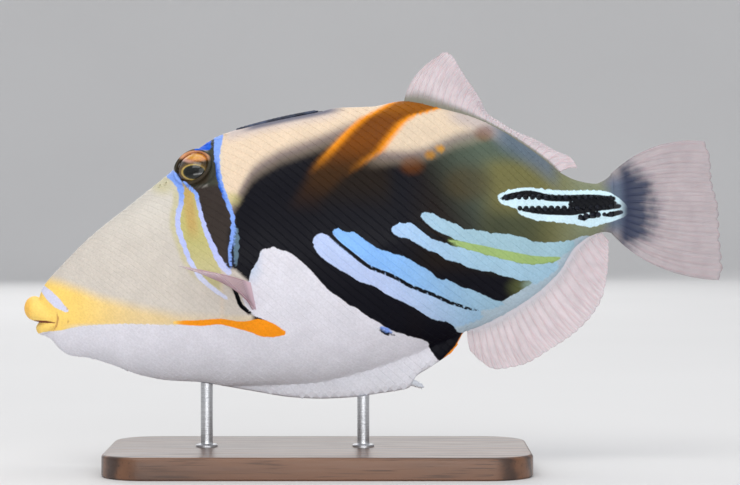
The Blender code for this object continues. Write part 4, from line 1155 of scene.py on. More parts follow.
def instancing_tree(name, shape_nodes, inputs):
    """A Geometry Nodes tree that sets a shape on every point, turned to the point's out and ahead
    directions."""
    tree = bpy.data.node_groups.new(name, "GeometryNodeTree")
    tree.interface.new_socket("Geometry", in_out="INPUT", socket_type="NodeSocketGeometry")
    for title, kind, default in inputs:
        socket = tree.interface.new_socket(title, in_out="INPUT", socket_type=kind)
        if default is not None:
            socket.default_value = default
    tree.interface.new_socket("Material", in_out="INPUT", socket_type="NodeSocketMaterial")
    tree.interface.new_socket("Geometry", in_out="OUTPUT", socket_type="NodeSocketGeometry")
    given = tree.nodes.new("NodeGroupInput")
    result = tree.nodes.new("NodeGroupOutput")
    shape = shape_nodes(tree, given)
    out = named(tree, "out", "FLOAT_VECTOR")
    ahead = named(tree, "ahead", "FLOAT_VECTOR")
    size = named(tree, "size", "FLOAT")
    upright = node(tree, "FunctionNodeAlignRotationToVector", {"Vector": out}, axis="Z")
    turned = node(
        tree, "FunctionNodeAlignRotationToVector", {"Rotation": upright.outputs[0], "Vector": ahead}, axis="X"
    )
    turned.pivot_axis = "Z"
    put = node(tree, "GeometryNodeInstanceOnPoints", {
        "Points": given.outputs["Geometry"], "Instance": shape, "Rotation": turned.outputs[0], "Scale": size,
    })  # fmt: skip
    real = node(tree, "GeometryNodeRealizeInstances", {"Geometry": put.outputs["Instances"]})
    smoothed = node(
        tree, "GeometryNodeSetShadeSmooth", {"Geometry": real.outputs["Geometry"], "Shade Smooth": False}
    )
    finish = node(tree, "GeometryNodeSetMaterial", {
        "Geometry": smoothed.outputs["Geometry"], "Material": given.outputs["Material"],
    })  # fmt: skip
    tree.links.new(finish.outputs["Geometry"], result.inputs["Geometry"])
    return tree


def named(tree, name, kind):
    made = node(tree, "GeometryNodeInputNamedAttribute", data_type=kind)
    made.inputs["Name"].default_value = name
    return made.outputs["Attribute"]


def scale_shape(tree, given):
    """A low plate with a bevelled rim, its outline between a circle and a diamond."""
    plate = node(tree, "GeometryNodeMeshCone", {
        "Vertices": 8, "Radius Top": given.outputs["Top Radius"], "Radius Bottom": given.outputs["Radius"],
        "Depth": given.outputs["Thickness"],
    }, fill_type="TRIANGLE_FAN")  # fmt: skip
    spot = node(tree, "GeometryNodeInputPosition").outputs["Position"]
    parts = node(tree, "ShaderNodeSeparateXYZ", {"Vector": spot})
    total = computed(tree, "ADD", *(computed(tree, "ABSOLUTE", parts.outputs[axis]) for axis in ("X", "Y")))
    reach = node(tree, "ShaderNodeVectorMath", {0: spot}, operation="LENGTH").outputs["Value"]
    ratio = computed(tree, "DIVIDE", reach, computed(tree, "MAXIMUM", total, 1e-7))
    diamond = given.outputs["Diamond"]
    rest = computed(tree, "SUBTRACT", 1.0, diamond)
    squeezed = computed(tree, "ADD", computed(tree, "MULTIPLY", ratio, diamond), rest)
    scaled = spot
    for x, y in ((squeezed, squeezed), (1.0, given.outputs["Aspect"])):
        factors = node(tree, "ShaderNodeCombineXYZ", {"X": x, "Y": y, "Z": 1.0}).outputs["Vector"]
        scaled = node(tree, "ShaderNodeVectorMath", {0: scaled, 1: factors}, operation="MULTIPLY").outputs[
            "Vector"
        ]
    moved = node(tree, "GeometryNodeSetPosition", {"Geometry": plate.outputs["Mesh"], "Position": scaled})
    return moved.outputs["Geometry"]


def thorn_shape(tree, given):
    """A cone whose tip hooks forwards."""
    cone = node(tree, "GeometryNodeMeshCone", {
        "Vertices": 9, "Side Segments": 5, "Radius Top": 0.00001, "Radius Bottom": given.outputs["Radius"],
        "Depth": given.outputs["Height"],
    }, fill_type="NGON")  # fmt: skip
    spot = node(tree, "GeometryNodeInputPosition").outputs["Position"]
    parts = node(tree, "ShaderNodeSeparateXYZ", {"Vector": spot})
    rise = computed(tree, "DIVIDE", parts.outputs["Z"], given.outputs["Height"])
    hook = computed(tree, "MULTIPLY", computed(tree, "POWER", rise, 1.7), given.outputs["Hook"])
    shift = node(tree, "ShaderNodeCombineXYZ", {"X": hook, "Y": 0.0, "Z": 0.0}).outputs["Vector"]
    moved = node(tree, "GeometryNodeSetPosition", {"Geometry": cone.outputs["Mesh"], "Offset": shift})
    return moved.outputs["Geometry"]


def instanced(name, points, outs, ahead, sizes, tree, values, finish):
    """A plain mesh made by a Geometry Nodes tree from a cloud of points with directions and sizes."""
    mesh = bpy.data.meshes.new(name)
    mesh.from_pydata([tuple(p) for p in places(points)], [], [])
    store(mesh, "out", "FLOAT_VECTOR", outs)
    store(mesh, "ahead", "FLOAT_VECTOR", ahead)
    store(mesh, "size", "FLOAT", sizes)
    store(mesh, "root", "FLOAT_VECTOR", points)
    made = placed(name, mesh)
    modifier = made.modifiers.new("shapes", "NODES")
    modifier.node_group = tree
    given = {**values, "Material": finish}
    for item in tree.interface.items_tree:
        if item.item_type == "SOCKET" and item.in_out == "INPUT" and item.name in given:
            modifier[item.identifier] = given[item.name]
    made_plain(made)
    if len(made.data.polygons) == 0:
        raise RuntimeError(f"{name} has no faces")
    if not made.data.materials:
        made.data.materials.append(finish)
    return made


def root_rows(mesh):
    """The point that each vertex's shape was set on."""
    layer = mesh.attributes["root"]
    found = np.empty(len(mesh.vertices) * 3, np.float32)
    layer.data.foreach_get("vector", found)
    return found.reshape(-1, 3).astype(float)


def bake_map(piece, spread=0.001):
    """Gives a piece of many small shapes a UV map with a patch for each at its root's place on the unrolled
    flank.

    The flank unrolls along the body and, round each ring, from the crest down to the keel.
    """
    mesh = piece.data
    roots = root_rows(mesh)
    along, side, up = roots.T
    widest = smooth(WIDEST_UP, along)
    reach = np.where(up > widest, smooth(BACK, along) - widest, widest - smooth(BELLY, along))
    turn = np.arctan2(np.abs(side) / smooth(HALF_WIDTH, along), (up - widest) / reach)
    centre = np.column_stack((along / 230, turn / 3.5))
    off = fish_points(mesh) - roots
    local = np.column_stack((off[:, 0], np.sign(side) * off[:, 1] - off[:, 2])) * spread
    corners = np.empty(len(mesh.loops), int)
    mesh.loops.foreach_get("vertex_index", corners)
    layer = mesh.uv_layers.new(name="OFBake")
    layer.data.foreach_set("uv", (centre + local)[corners].astype(np.float32).ravel())


# Fins, from the same roots, bends and tips as in the solids.
DORSAL_ROOT = (118.6, 167.2)
DORSAL_TIP_ALONG = (
    (0, 128.0), (0.1, 131.6), (0.17, 134.0), (0.24, 136.0), (0.3, 138.2), (0.37, 140.8), (0.43, 142.9),
    (0.5, 144.8), (0.56, 147.4), (0.63, 151.0), (0.75, 158.2), (0.88, 166.6), (0.95, 171.4), (1, 173.2),
)
DORSAL_TIP_UP = (
    (0, 106.2), (0.1, 108.5), (0.17, 107.2), (0.24, 103.9), (0.3, 100.7), (0.37, 97.0), (0.43, 93.4),
    (0.5, 90.0), (0.56, 87.6), (0.63, 85.2), (0.75, 81.9), (0.88, 77.8), (0.95, 75.2), (1, 72.2),
)
DORSAL_LAID = ((0, 0.6), (0.15, 1.6), (0.3, 4.0), (0.42, 7.0), (0.6, 9.5), (0.8, 8.5), (1, 4.0))
ANAL_ROOT = (138.6, 180.2)
ANAL_TIP_ALONG = (
    (0, 139.4), (0.05, 142.6), (0.12, 147.5), (0.25, 155.6), (0.4, 164.4), (0.55, 172.2), (0.7, 178.8),
    (0.8, 181.6), (0.9, 182.8), (1, 182.7),
)
ANAL_TIP_UP = (
    (0, 15.0), (0.05, 11.8), (0.12, 9.1), (0.25, 10.3), (0.4, 15.0), (0.55, 20.2), (0.7, 27.2), (0.8, 33.6),
    (0.9, 42.6), (1, 49.6),
)
ANAL_SWING = ((0, 0.5), (0.3, 2.2), (0.6, 3.4), (0.85, 2.0), (1, 0.8))
CAUDAL_BEND_ALONG = ((0, 196.2), (0.5, 200.0), (1, 196.0))
CAUDAL_BEND_UP = ((0, 82.3), (0.5, 59.8), (1, 38.2))
CAUDAL_TIP_ALONG = (
    (0, 213.0), (0.06, 214.4), (0.3, 215.6), (0.5, 217.4), (0.8, 218.2), (0.95, 218.9), (1, 217.6),
)
CAUDAL_TIP_UP = ((0, 80.6), (0.06, 77.2), (0.5, 59.4), (0.94, 40.2), (1, 37.0))
CAUDAL_SWING = 3.0
PECTORAL_ROOT_TOP = (71.2, 37.0)
PECTORAL_ROOT_BOTTOM = (72.7, 28.4)
PECTORAL_TIP_TOP = (49.8, 42.2)
PECTORAL_TIP_BOTTOM = (58.8, 40.4)
PECTORAL_OUT = ((0, 5.5), (0.4, 10.5), (0.75, 13.5), (1, 12.0))
ROOT_SINK = 0.7  # how far a fin's root runs on into the flesh


def dorsal_ray(share):
    along = DORSAL_ROOT[0] + (DORSAL_ROOT[1] - DORSAL_ROOT[0]) * share
    start = np.array((along, 0.0, height(BACK, along) - ROOT_SINK))
    end = np.array([height(curve, share) for curve in (DORSAL_TIP_ALONG, DORSAL_LAID, DORSAL_TIP_UP)])
    lift = 0.62 * (end[2] - start[2]) + 0.22 * end[1]
    return start, np.array((start[0] + 0.16 * (end[0] - start[0]), 0.34 * end[1], start[2] + lift)), end


def anal_ray(share):
    along = ANAL_ROOT[0] + (ANAL_ROOT[1] - ANAL_ROOT[0]) * share
    slope = height(BELLY, along + 0.5) - height(BELLY, along - 0.5)
    out = np.array((slope, 0.0, -1.0)) / math.hypot(slope, 1.0)
    start = np.array((along, 0.0, height(BELLY, along))) - out * ROOT_SINK
    end = np.array([height(curve, share) for curve in (ANAL_TIP_ALONG, ANAL_SWING, ANAL_TIP_UP)])
    forward = 0.2 + 0.24 * share
    middle = (start[0] + forward * (end[0] - start[0]), 0.3 * end[1], 0.43 * start[2] + 0.57 * end[2])
    return start, np.array(middle), end


def caudal_ray(share):
    top, bottom = height(BACK, TAIL_END) - 0.3, height(BELLY, TAIL_END) + 0.3
    start = np.array((TAIL_END - ROOT_SINK, 0.0, top + (bottom - top) * share))
    middle = np.array((height(CAUDAL_BEND_ALONG, share), 0.0, height(CAUDAL_BEND_UP, share)))
    end = (height(CAUDAL_TIP_ALONG, share), CAUDAL_SWING, height(CAUDAL_TIP_UP, share))
    return start, middle, np.array(end)


def between(first, last, share):
    """The point at a share of the way from one point to another."""
    return np.array(first) + (np.array(last) - np.array(first)) * share


def pectoral_ray(share):
    root = between(PECTORAL_ROOT_TOP, PECTORAL_ROOT_BOTTOM, share)
    tip = between(PECTORAL_TIP_TOP, PECTORAL_TIP_BOTTOM, share)
    start = np.array((root[0], float(flank(*root)) - 0.4, root[1]))
    middle_root = between(PECTORAL_ROOT_TOP, PECTORAL_ROOT_BOTTOM, 0.5)
    reach = float(flank(*middle_root)) + 0.55 + height(PECTORAL_OUT, share)
    rounding = 2.4 * (2 * share - 1) ** 2
    end = np.array((tip[0] + 1.6 * rounding * share, reach, tip[1]))
    middle = start + (end - start) * (0.3, 0.62, 0.52) + (0, 1.2, 0)
    return start, middle, end


FINS = {
    "second_dorsal_fin": {"ray": dorsal_ray, "skin": (0.2, 0, 1), "root": 0.95, "fork": 0.55},
    "anal_fin": {"ray": anal_ray, "skin": (0.5, 0, -1), "root": 0.95, "fork": 0.55},
    "caudal_fin": {"ray": caudal_ray, "skin": (1, 0, 0), "root": 2.6, "fork": 0.3},
    "pectoral_fin": {"ray": pectoral_ray, "skin": (0, 1, 0), "root": 0.7, "fork": 0.5},
}
COLUMNS_PER_RAY = 10
MEMBRANE_HALF = 0.09
RAY_HALF = 0.26


def make_fin(name, kind, rays, way, finish, rows=44):
    """A fin of forked rays and thin webs between them, closed all round, its free edge notched between the
    rays."""
    form = FINS[kind]
    columns = (rays - 1) * COLUMNS_PER_RAY + 1
    shares = np.linspace(0, 1, columns)
    along_ray = np.linspace(0, 1, rows)
    middle = np.zeros((columns, rows, 3))
    position = shares * (rays - 1)
    off = np.abs(position - np.round(position))  # 0 on a ray and 0.5 midway between two
    wear = 0.5 + 0.5 * np.sin(position * 2.1 + 1.3) * np.sin(position * 0.73)
    for i, share in enumerate(shares):
        start, bend, end = form["ray"](share)
        reach = 1 - (0.012 + 0.012 * wear[i]) * (off[i] * 2) ** 1.5
        middle[i] = [bent(start, bend, end, row * reach) for row in along_ray]
    spread = 0.24 * ease(form["fork"] - 0.12, form["fork"] + 0.35, along_ray)[None, :]
    nearest = np.abs(off[:, None] - spread)
    ridge = np.exp(-((nearest / 0.085) ** 2))
    taper = 1 - 0.62 * along_ray[None, :]
    joints = 1 + 0.05 * np.sin(along_ray * 150)[None, :] * ease(0.3, 0.5, along_ray)[None, :]
    half = MEMBRANE_HALF + (RAY_HALF * taper * joints) * ridge
    root = np.clip(1 - along_ray / 0.26, 0, 1)[None, :] ** 1.6
    fleshy = form["root"] * np.ones(columns)
    if kind == "caudal_fin":
        fleshy = 0.5 + (form["root"] - 0.5) * np.sqrt(np.clip(1 - (2 * shares - 1) ** 2, 0, 1))
    half = half + np.maximum(fleshy[:, None] - half, 0) * root
    half = half * (0.35 + 0.65 * ease(1.0, 0.94, along_ray))[None, :]
    # A fin is faintly rippled, each web sagging a little between its rays.
    across, run = np.gradient(middle, axis=0), np.gradient(middle, axis=1)
    normal = np.cross(across, run)
    skin = np.array(form["skin"], float)
    skin /= np.linalg.norm(skin)
    normal[:, 0] -= (normal[:, 0] @ skin)[:, None] * skin
    normal /= np.linalg.norm(normal, axis=2, keepdims=True)
    ripple = 0.16 * np.sin(position * 1.35)[:, None] * ease(0.35, 1.0, along_ray)[None, :]
    sag = 0.1 * (off[:, None] * 2) ** 2 * ease(0.15, 0.6, along_ray)[None, :]
    middle = middle + normal * (ripple + sag)[:, :, None]
    offset = normal * half[:, :, None]
    points = np.concatenate([(middle + offset).reshape(-1, 3), (middle - offset).reshape(-1, 3)])
    points[:, 1] *= way
    faces = sheet_faces(columns, rows)
    fin = solid(name, points, faces, finish)
    grid = {
        "ray": np.tile((ridge * (0.5 + 0.5 * taper)).ravel(), 2),
        "reach": np.tile(np.broadcast_to(along_ray, (columns, rows)).ravel(), 2),
        "share": np.tile(np.broadcast_to(shares[:, None], (columns, rows)).ravel(), 2),
    }
    for title, values in grid.items():
        store(fin.data, title, "FLOAT", values)
    return fin


def sheet_faces(columns, rows):
    """Faces of the two sides of a grid and of the rim that joins them."""
    faces, other = [], columns * rows
    for i in range(columns - 1):
        for j in range(rows - 1):
            a, b = i * rows + j, (i + 1) * rows + j
            faces.append((a, b, b + 1, a + 1))
            faces.append((other + a + 1, other + b + 1, other + b, other + a))
    rim = [i * rows for i in range(columns)] + [(columns - 1) * rows + j for j in range(1, rows)]
    rim += [i * rows + rows - 1 for i in range(columns - 2, -1, -1)] + list(range(rows - 2, 0, -1))
    faces += [(a, other + a, other + b, b) for a, b in zip(rim, rim[1:] + rim[:1])]
    return faces


def fin_material(name, relief, tints, root_tint, clear, patch=None, markings=None):
    """Thin translucent fin skin in tints of (web, ray, edge): tinted webs, darker rays and a root in the
    body's colour.

    With `patch`, the root's colour ends in streaks between two shares of the rays' length. With `markings`,
    the skin's own marks run on over the root.
    """
    made, tree, shader = start_material(name)
    web, ray_tint, edge_tint = tints
    ray, reach, share = (stored(tree, title) for title in ("ray", "reach", "share"))
    streak = noise(tree, object_spot(tree), 260.0, 4.0)
    colour = mixed(tree, ranged(tree, streak, 0.3, 0.7), opaque(web), opaque(web, 0.86))
    colour = mixed(tree, ranged(tree, ray, 0.1, 0.8, 0.0, 0.8), colour, opaque(ray_tint))
    colour = mixed(tree, ranged(tree, reach, 0.84, 1.0, 0.0, 0.5), colour, opaque(edge_tint))
    opacity = ranged(tree, ray, 0.05, 0.8, clear, 0.96)
    root = ranged(tree, reach, 0.26, 0.05)
    if patch is not None:
        wave = computed(tree, "MULTIPLY", computed(tree, "SUBTRACT", streak, 0.5), 0.25)
        rows = computed(
            tree, "MULTIPLY", computed(tree, "SINE", computed(tree, "MULTIPLY", share, 82.0)), 0.02
        )
        outer = computed(tree, "ABSOLUTE", computed(tree, "SUBTRACT", share, 0.52))
        outer = ranged(tree, outer, 0.2, 0.5, 0.0, 0.22)
        edge = computed(tree, "ADD", computed(tree, "ADD", reach, wave), computed(tree, "ADD", rows, outer))
        root = ranged(tree, edge, patch[1], patch[0])
    colour = mixed(tree, root, colour, opaque(root_tint))
    if markings is not None:
        drawn = use_group(tree, markings)
        colour = mixed(tree, ranged(tree, reach, 0.17, 0.05), colour, drawn.outputs["Colour"])
    fill(tree, shader, {
        "Base Color": colour, "Alpha": computed(tree, "MAXIMUM", opacity, root),
        "Normal": relief_normal(tree, relief, 3200.0, 0.25, 900.0), "Roughness": 0.42,
        "Subsurface Weight": 0.25, "Subsurface Radius": (0.002, 0.0012, 0.001),
    })  # fmt: skip
    return made


# Eyes.
def eye_colours(points):
    """The eyeball's colours from where its points stand in the side view, about the pupil's centre."""
    at = side_view(points)
    u, v = at[:, 0] - 194.0, at[:, 1] - 170.0
    coat = Coat(IRIS_BROWN)
    angle = np.arctan2(v, u)
    fibres = 0.5 + 0.5 * np.sin(angle * 23 + np.hypot(u, v) * 0.6)
    coat.lay(IRIS_DARK, 0.6 * fibres)
    oval = np.hypot(u / 11.8, (v - 1.3) / 7.6)
    coat.lay(IRIS_GOLD, ease(1.45, 1.05, oval) * 0.5)
    coat.lay(PUPIL_RIM, ease(0.13, 0.03, np.abs(oval - 1.0)) * (0.3 + 0.6 * ease(8, -3, u)))
    # Painted glint: a dark green rim of reflected light just inside the pupil.
    coat.lay(PUPIL_GLINT_GREEN, ease(0.97, 0.88, oval))
    coat.lay(PUPIL_BLACK, ease(0.86, 0.7, oval))
    dome_edge = v + 9.0 + 0.012 * (u - 2) ** 2
    coat.lay(DOME_TAN, ease(1.2, -2.5, dome_edge))
    coat.lay(DOME_ORANGE, ease(2.0, -2.0, np.abs(dome_edge + 5.5) - 3.0) * ease(14, 4, np.abs(u + 1)))
    coat.lay(DOME_PINK, 0.6 * ease(3, 0, np.abs(dome_edge)) * ease(4, -6, u))
    outer = np.hypot(u - 0.5, v + 1.5)
    coat.lay(EYE_EDGE, ease(16.5, 18.6, outer) * ease(-14, -4, v))
    return coat.colours


def make_eye(name, way, finish):
    """One eyeball, its crown domed like a cornea, with its iris and pupil."""
    eye = dome(name, EYE_ALONG, EYE_UP, way, EYE_RADIUS, EYE_DEPTH, EYE_DEPTH - EYE_BULGE, 120, 80)
    eye.data.materials.append(finish)
    add_colours(eye.data, "ground", eye_colours(fish_points(eye.data)))
    return eye


def eye_material():
    """The eyeball's wet surface over its stored colours, with fine flecks."""
    made, tree, shader = start_material("eyeball")
    flecks = noise(tree, object_spot(tree), 1800.0, 3.0)
    light = ranged(tree, flecks, 0.3, 0.7, 0.75, 1.15)
    fill(tree, shader, {
        "Base Color": mixed(tree, 0.7, stored(tree, "ground", "Color"), light, "MULTIPLY"),
        "Roughness": ranged(tree, flecks, 0.3, 0.7, 0.12, 0.24),
        "Specular IOR Level": 0.3, "Coat Weight": 0.45, "Coat Roughness": 0.04,
    })  # fmt: skip
    return made


# Spines.
FOLDED_SPINES = (
    {"from": 66.2, "to": 92.0, "up": (-0.75, 0.15), "radii": (1.15, 0.42), "side": 0.0},
    {"from": 76.0, "to": 94.0, "up": (-1.0, -0.45), "radii": (0.8, 0.3), "side": 0.35},
    {"from": 86.0, "to": 95.1, "up": (-1.1, -0.75), "radii": (0.6, 0.25), "side": -0.3},
)
PELVIC_ROOT = (121.2, 5.1)
PELVIC_TIP = (125.0, 3.6)


def make_first_dorsal(finish):
    """The folded first dorsal fin: three ridged spines lying in their groove on a pleated web."""
    parts = []
    for form in FOLDED_SPINES:
        share = np.linspace(0, 1, 40)
        along = form["from"] + (form["to"] - form["from"]) * share
        lift = form["up"][0] + (form["up"][1] - form["up"][0]) * share
        start, end = (height(BACK, form[key]) for key in ("from", "to"))
        rise = start + (end - start) * share + lift + 2.0 * (form["to"] - form["from"]) / 26 * share * (
            1 - share
        )
        radii = form["radii"][0] + (form["radii"][1] - form["radii"][0]) * share
        radii = radii * (1 + 0.05 * np.sin(along * 5.0)) * ease(-0.02, 0.03, share) * (
            0.15 + 0.85 * ease(1.0, 0.95, share)
        )
        parts.append(
            tube(np.column_stack((along, np.full(40, form["side"]), rise)), np.maximum(radii, 0.05), 14)
        )
    for fold in (-0.62, -0.2, 0.25, 0.66):
        along = np.linspace(67.0, 95.4, 60)
        up = smooth(BACK, along) - 1.15 + 0.25 * np.sin(along * 1.1 + fold * 4)
        side = fold + 0.12 * np.sin(along * 1.7 + fold * 9)
        ends = ease(66.6, 69.0, along) * ease(95.6, 93.5, along)
        parts.append(tube(np.column_stack((along, side, up)), 0.1 + 0.2 * ends, 8, flatten=0.7))
    return solid("first_dorsal_fin", *joined(parts), finish)


def make_pelvic(finish):
    """The blunt rough spine that ends the belly flap."""
    share = np.linspace(0, 1, 24)
    path = np.column_stack((
        PELVIC_ROOT[0] + (PELVIC_TIP[0] - PELVIC_ROOT[0]) * share, np.zeros(24),
        PELVIC_ROOT[1] + (PELVIC_TIP[1] - PELVIC_ROOT[1]) * share,
    ))  # fmt: skip
    radii = (1.15 - 0.6 * share) * (1 + 0.06 * np.sin(share * 40)) * (0.25 + 0.75 * ease(1.0, 0.8, share))
    parts = [tube(path, radii, 18, flatten=0.75)]
    for row, count in ((0.25, 7), (0.5, 6), (0.72, 5)):
        for i in range(count):
            turn = 2 * math.pi * (i + row) / count
            size = 1.15 - 0.6 * row
            centre = path[0] + (path[-1] - path[0]) * row
            out = np.array((0.0, 0.75 * math.cos(turn), math.sin(turn)))
            base = centre + out * size * 0.7
            steps = np.linspace(0, 1, 6)[:, None]
            parts.append(
                tube(base + (out * 0.62 + (0.55, 0, -0.1)) * steps, 0.2 * (1 - 0.85 * steps[:, 0]), 8)
            )
    return solid("pelvic_spine", *joined(parts), finish)


THORN_ROWS = (
    {"from": (150.0, 63.2), "bend": (167.0, 63.1), "to": (183.0, 62.9), "count": 17},
    {"from": (154.5, 59.7), "bend": (168.0, 59.3), "to": (183.0, 60.2), "count": 15},
    {"from": (173.5, 57.0), "bend": (178.0, 57.6), "to": (183.0, 57.9), "count": 6},
)


def thorn_points():
    """Where the tail's thorns stand on both flanks, with their directions and sizes."""
    points, outs, ahead, sizes = [], [], [], []
    for row in THORN_ROWS:
        for i in range(row["count"]):
            share = i / (row["count"] - 1)
            along, up = bent(row["from"], row["bend"], row["to"], share)
            for way in (-1, 1):
                out = outward(along, up, way)
                points.append((along, way * (float(flank(along, up)) - 0.12), up))
                outs.append(out)
                ahead.append((Vector((-1, 0, 0.05)) + out * out.x).normalized())
                sizes.append(
                    0.86 + 0.26 * math.sin(math.pi * min(share * 1.2 + 0.1, 1.0)) + 0.05 * math.sin(9.1 * i)
                )
    return np.array(points), np.array(outs), np.array(ahead), np.array(sizes)


def spine_material(name, relief, tint, high_tint, roughness):
    """Horn-like skin of the spines, in patches of a darker and a paler tint."""
    made, tree, shader = start_material(name)
    patchy = noise(tree, object_spot(tree), 420.0, 4.0)
    fill(tree, shader, {
        "Base Color": mixed(tree, ranged(tree, patchy, 0.4, 0.68), opaque(tint), opaque(high_tint)),
        "Roughness": ranged(tree, patchy, 0.3, 0.7, roughness - 0.08, roughness + 0.1),
        "Normal": relief_normal(tree, relief, 2600.0, 0.5),
        "Coat Weight": 0.08, "Specular IOR Level": 0.25,
    })  # fmt: skip
    return made


# Stand.
BASE_LENGTH = 132.0
BASE_WIDTH = 66.0
BASE_HEIGHT = 7.0
BASE_CORNER = 14.0
BASE_BEVEL = 1.2
SHARP_ANGLE = math.radians(35)
ROD_RADIUS = 1.9
DARK_STEEL = (0.42, 0.43, 0.45)
LIGHT_STEEL = (0.62, 0.63, 0.65)
ROD_ALONG = {"stand_rod_front": 57.0, "stand_rod_rear": 106.0}


def crisp(name, points, faces, finish):
    """A piece of the stand, from millimetres in the model's own frame, with its hard edges kept sharp."""
    made = solid(name, points * MM, faces, finish, metres=True)
    made.data.set_sharp_from_angle(angle=SHARP_ANGLE)
    return made


def rounded_plate(name, length, width, corner, levels, finish):
    """A plate with round corners, lofted through levels of (height, inset), in millimetres about the
    origin."""
    rings = []
    for height, inset in levels:
        ring = []
        for quarter, (x, y) in enumerate(((1, 1), (-1, 1), (-1, -1), (1, -1))):
            centre = (x * (length / 2 - corner), y * (width / 2 - corner))
            for i in range(25):
                turn = math.pi / 2 * (quarter + i / 24)
                reach = corner - inset
                ring.append((centre[0] + reach * math.cos(turn), centre[1] + reach * math.sin(turn), height))
        rings.append(np.array(ring))
    points, faces = ring_mesh(rings)
    return crisp(name, points, faces, finish)


def make_base(finish):
    levels = [(0.0, 0.5), (0.5, 0.0)]
    for i in range(9):
        turn = math.pi / 2 * i / 8
        rise = BASE_HEIGHT - BASE_BEVEL + BASE_BEVEL * math.sin(turn)
        levels.append((rise, BASE_BEVEL * (1 - math.cos(turn))))
    return rounded_plate("stand_base_wood", BASE_LENGTH, BASE_WIDTH, BASE_CORNER, levels, finish)


def make_rod(name, along, finish):
    """A steel rod with a low collar on the base, its top shaped to the belly over it."""
    turns = turns_of(48)
    x = along - BASE_UNDER
    rings = []
    collar = ROD_RADIUS + 1.5
    profile = [(-0.3, collar), (0.5, collar), (0.75, collar - 0.25), (0.8, ROD_RADIUS + 0.3)]
    profile += [(1.0, ROD_RADIUS + 0.05), (1.3, ROD_RADIUS)]
    profile += [(lift, ROD_RADIUS) for lift in np.linspace(2.0, BELLY_CLEARANCE - 1.0 - BASE_HEIGHT, 8)]
    for lift, radius in profile:
        level = np.full(len(turns), BASE_HEIGHT + lift)
        rings.append(np.column_stack((x + radius * np.cos(turns), radius * np.sin(turns), level)))
    for radius in (ROD_RADIUS, ROD_RADIUS - 0.12, ROD_RADIUS * 0.5):
        spot = x + radius * np.cos(turns)
        rise = smooth(BELLY, spot + BASE_UNDER) + BELLY_CLEARANCE + 0.15
        if radius == ROD_RADIUS:
            rise = rise - 0.15
        rings.append(np.column_stack((spot, radius * np.sin(turns), rise)))
    points, faces = ring_mesh(rings)
    return crisp(name, points, faces, finish)


def stretched(tree, scale):
    """The piece's own coordinates, drawn out along one direction."""
    return node(tree, "ShaderNodeMapping", {"Vector": object_spot(tree), "Scale": scale}).outputs["Vector"]


def wood_material(dark, light):
    """Satin walnut with long grain, pores and end rings along the base."""
    made, tree, shader = start_material("walnut")
    laid = stretched(tree, (6.0, 70.0, 50.0))
    warp = {"Vector": laid, "Scale": 1.0, "Detail": 5.0, "Distortion": 1.2}
    warp = node(tree, "ShaderNodeTexNoise", warp).outputs["Fac"]
    bands = {"Vector": laid, "Scale": 0.9, "Distortion": 9.0, "Detail": 4.0}
    bands = node(tree, "ShaderNodeTexWave", bands, bands_direction="Y").outputs["Fac"]
    pores = noise(tree, stretched(tree, (60.0, 2200.0, 1600.0)), 1.0, 3.0)
    grain = computed(
        tree, "ADD", computed(tree, "MULTIPLY", warp, 0.6), computed(tree, "MULTIPLY", bands, 0.4)
    )
    colour = mixed(tree, ranged(tree, grain, 0.25, 0.75), opaque(dark), opaque(light))
    bump = node(tree, "ShaderNodeBump", {"Height": pores, "Strength": 0.25, "Distance": 0.0001})
    fill(tree, shader, {
        "Base Color": mixed(tree, ranged(tree, pores, 0.56, 0.7, 0.0, 0.55), colour, opaque(dark, 0.45)),
        "Roughness": ranged(tree, pores, 0.3, 0.7, 0.3, 0.46), "Normal": bump.outputs["Normal"],
        "Coat Weight": 0.25, "Coat Roughness": 0.3,
    })  # fmt: skip
    return made


def steel_material():
    """Steel brushed round the rods."""
    made, tree, shader = start_material("brushed_steel")
    lines = noise(tree, stretched(tree, (120.0, 120.0, 9000.0)), 1.0, 3.0)
    bump = node(tree, "ShaderNodeBump", {"Height": lines, "Strength": 0.12, "Distance": 0.00005})
    fill(tree, shader, {
        "Base Color": mixed(tree, ranged(tree, lines, 0.3, 0.7), opaque(DARK_STEEL), opaque(LIGHT_STEEL)),
        "Roughness": ranged(tree, lines, 0.3, 0.7, 0.24, 0.42), "Normal": bump.outputs["Normal"],
        "Metallic": 1.0,
    })  # fmt: skip
    return made


# Stage.
def studio_sweep(finish, reach=1.5, bend=0.7, wall=0.9, steps=24, sides=96):
    """A round floor that curves up into a wall on every side, in metres, so that no horizon shows."""
    profile = [(reach * share, 0.0) for share in (0.25, 0.5, 0.75, 1.0)]
    for i in range(1, steps + 1):
        turn = math.pi / 2 * i / steps
        profile.append((reach + bend * math.sin(turn), bend * (1 - math.cos(turn))))
    profile.append((reach + bend, wall))
    points, faces = [(0.0, 0.0, 0.0)], []
    for radius, height in profile:
        for i in range(sides):
            turn = 2 * math.pi * i / sides
            points.append((radius * math.cos(turn), radius * math.sin(turn), height))
    for i in range(sides):
        after = (i + 1) % sides
        faces.append((0, 1 + i, 1 + after))
        for ring in range(len(profile) - 1):
            low, high = 1 + ring * sides, 1 + (ring + 1) * sides
            faces.append((low + i, high + i, high + after, low + after))
    mesh = bpy.data.meshes.new("studio_floor")
    mesh.from_pydata(points, [], faces)
    mesh.shade_smooth()
    mesh.materials.append(finish)
    return placed("studio_floor", mesh)


def floor_material(colour):
    """Matt paper-like floor."""
    made, tree, shader = start_material("studio_floor")
    cloud = noise(tree, object_spot(tree), 3.0, 2.0)
    tinted = mixed(tree, ranged(tree, cloud, 0.3, 0.7), opaque(colour, 0.97), opaque(colour))
    fill(tree, shader, {"Base Color": tinted, "Roughness": 0.85})
    return made


